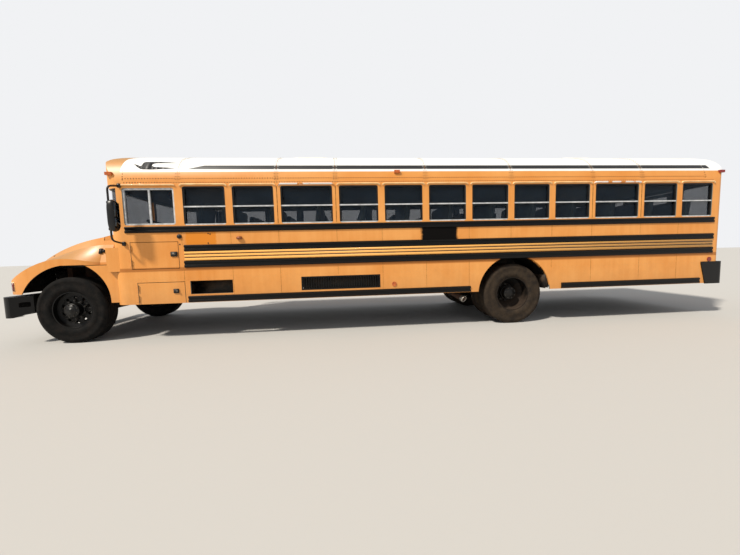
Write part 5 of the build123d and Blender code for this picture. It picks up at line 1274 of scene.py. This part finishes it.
piece("insect_screen", insect_screen, rubber_black, "hood_unit")

# Fender markers: a red moulded reflector on the front corner of each fender, in a housing with
# the lips' cream enamel and its painted highlight. A black rubber latch holds each side of the hood
# down to the cowl.
fender_red = lens("fender_reflector", "#5A100B", "#9A2A20")


def block_on(shape, origin, normal, across, tall, out, sunk, edge):
    """A rounded block on a surface: its middle, the surface's normal and its sizes."""
    stand = Vector(normal).normalized()
    up = (Vector((0, 0, 1)) - stand * stand.z).normalized()
    along = up.cross(stand)
    turn = Matrix((along, up, stand)).transposed().to_4x4()
    middle = Vector(origin) + stand * (out - sunk) / 2
    made = bmesh.ops.create_cube(shape, size=1.0, matrix=Matrix.Translation(middle) @ turn @
                                 Matrix.Diagonal((across, tall, out + sunk, 1.0)))
    edges = list({e for v in made["verts"] for e in v.link_edges})
    bmesh.ops.bevel(shape, geom=edges, offset=edge, segments=3, affect="EDGES")


def fender_housings(shape):
    for side in (-1, 1):
        block_on(shape, (-5.781, side * 1.080, 0.896), (-0.459, side * 0.888, 0),
                 across=0.086, tall=0.146, out=0.005, sunk=0.006, edge=0.0035)


def fender_lenses(shape):
    for side in (-1, 1):
        block_on(shape, (-5.7715, side * 1.085, 0.896), (-0.459, side * 0.888, 0),
                 across=0.056, tall=0.124, out=0.015, sunk=0.002, edge=0.005)


def hood_latches(shape):
    """Each latch's strap and hook, and the small dark mark of the fender's vent ahead of them."""
    for side in (-1, 1):
        block_on(shape, (-4.548, side * 1.0265, 1.400), (0.06, side * 0.935, 0.349),
                 across=0.052, tall=0.086, out=0.018, sunk=0.004, edge=0.006)
        block_on(shape, (-4.500, side * 1.0260, 1.398), (0.0, side * 0.938, 0.347),
                 across=0.034, tall=0.040, out=0.026, sunk=0.004, edge=0.005)
        block_on(shape, (-5.372, side * 0.8545, 1.349), (-0.387, side * 0.659, 0.645),
                 across=0.050, tall=0.016, out=0.0025, sunk=0.004, edge=0.0015)


piece("fender_marker_housings", fender_housings, cream_highlight_enamel, "hood_unit")
piece("fender_marker_lenses", fender_lenses, fender_red, "hood_unit")
piece("hood_latches", hood_latches, rubber_black, "hood_unit")

# Door latches: a paddle latch on the electrical door and a square one on the battery door. Each
# is a black moulded case screwed on the sheet, with a worn zinc-plated handle.
case_front, case_back = -1.2330, -1.2195


def electrical_latch(shape):
    chamfered(shape, (-3.424, case_front, 1.288), (-3.326, case_back, 1.361), 0.003)


def electrical_paddle(shape):
    chamfered(shape, (-3.402, case_front - 0.005, 1.312), (-3.352, case_front + 0.0005, 1.342),
              0.002)


def battery_latch(shape):
    chamfered(shape, (-3.421, case_front, 0.730), (-3.345, case_back, 0.796), 0.003)


def battery_knob(shape):
    turned(shape, [(0.007, -0.001), (0.007, 0.008), (0.014, 0.010), (0.014, 0.017), (0.010, 0.019)],
           20, (-3.362, -1.2325, 0.764), (0, -1, 0), closed=False)


for name, maker, finish, leaf in (
        ("electrical_latch", electrical_latch, rubber_black, "electrical_leaf"),
        ("electrical_paddle", electrical_paddle, bolt_zinc, "electrical_leaf"),
        ("battery_latch", battery_latch, rubber_black, "battery_leaf"),
        ("battery_knob", battery_knob, bolt_zinc, "battery_leaf")):
    piece(name, maker, finish, leaf)

# Hatches: escape lids of white moulded ABS, domed, with a skirt that sheds rain over the curb.
# Each is held by two hinge barrels at its front. The sun has chalked them to a dry, uneven white.
hatch_paint, tree, shader, place = material("chalked_hatch_plastic", {"Roughness": 0.55})
chalk, tone = blotches(tree, place, 200, 6.0, 0.7, (0.3, "#DEDCD3"), (0.7, "#F2F1EC"))
skin = add_node(tree, "Bump", {}, {"Strength": 0.15, "Distance": 0.001, "Height": chalk})
feed(shader, {"Base Color": tone, "Normal": skin})


def lid_form(x_middle):
    """A mesh maker for a domed lid with a skirt at its sides and rear, and two hinge barrels."""
    def maker(shape):
        half, inner, around = 0.308, 0.302, 64
        turns = [2 * math.pi * (k + 0.5) / around for k in range(around)]
        plan = [tuple(math.copysign(abs(w) ** 0.22, w) for w in (math.cos(a), math.sin(a)))
                for a in turns]

        def skirt_low(u):
            """The skirt's lower edge: none at the hinges, and higher at the rear than the sides."""
            if u < -0.9:
                return 3.0485
            return 3.026 if u > 0.98 else 3.014

        rings = [[(0.0, 0.0, 3.0675)]]
        for reach, z in ((0.12, 3.0673), (0.3, 3.066), (0.5, 3.0635), (0.7, 3.0590), (0.86, 3.0535),
                         (0.95, 3.0505)):
            rings.append([(u * half * reach, v * half * reach, z) for u, v in plan])
        rings.append([(u * (half - 0.004), v * (half - 0.004), 3.0500) for u, v in plan])
        rings.append([(u * half, v * half,
                       min(3.0475, skirt_low(u) + 0.03) if u >= -0.9 else 3.0492)
                      for u, v in plan])
        rings.append([(u * half, v * half, skirt_low(u)) for u, v in plan])
        rings.append([(u * inner, v * inner, skirt_low(u)) for u, v in plan])
        rings.append([(u * inner, v * inner, 3.0480) for u, v in plan])
        made = [[shape.verts.new((x_middle + x, y, z)) for x, y, z in ring] for ring in rings]
        for i in range(around):
            shape.faces.new((made[0][0], made[1][i], made[1][(i + 1) % around]))
        for here, there in zip(made[1:], made[2:]):
            for i in range(around):
                j = (i + 1) % around
                shape.faces.new((here[i], here[j], there[j], there[i]))
        shape.faces.new(made[-1])
        for side in (-1, 1):
            turned(shape, [(0.0068, -0.03), (0.0068, 0.03)], 16,
                   (x_middle - 0.324, side * 0.15, 3.062), (0, 1, 0), closed=False)
            chamfered(shape, (x_middle - 0.324, side * 0.15 - 0.028, 3.0565),
                      (x_middle - 0.280, side * 0.15 + 0.028, 3.0605), 0.001)
    return maker


for number, x_middle, leaf in ((1, -1.364, "front_hatch"), (2, 3.848, "rear_hatch")):
    lid = piece(f"domed_hatch_{number}", lid_form(x_middle), hatch_paint, leaf)
    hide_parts(f"roof_hatch_{number}")
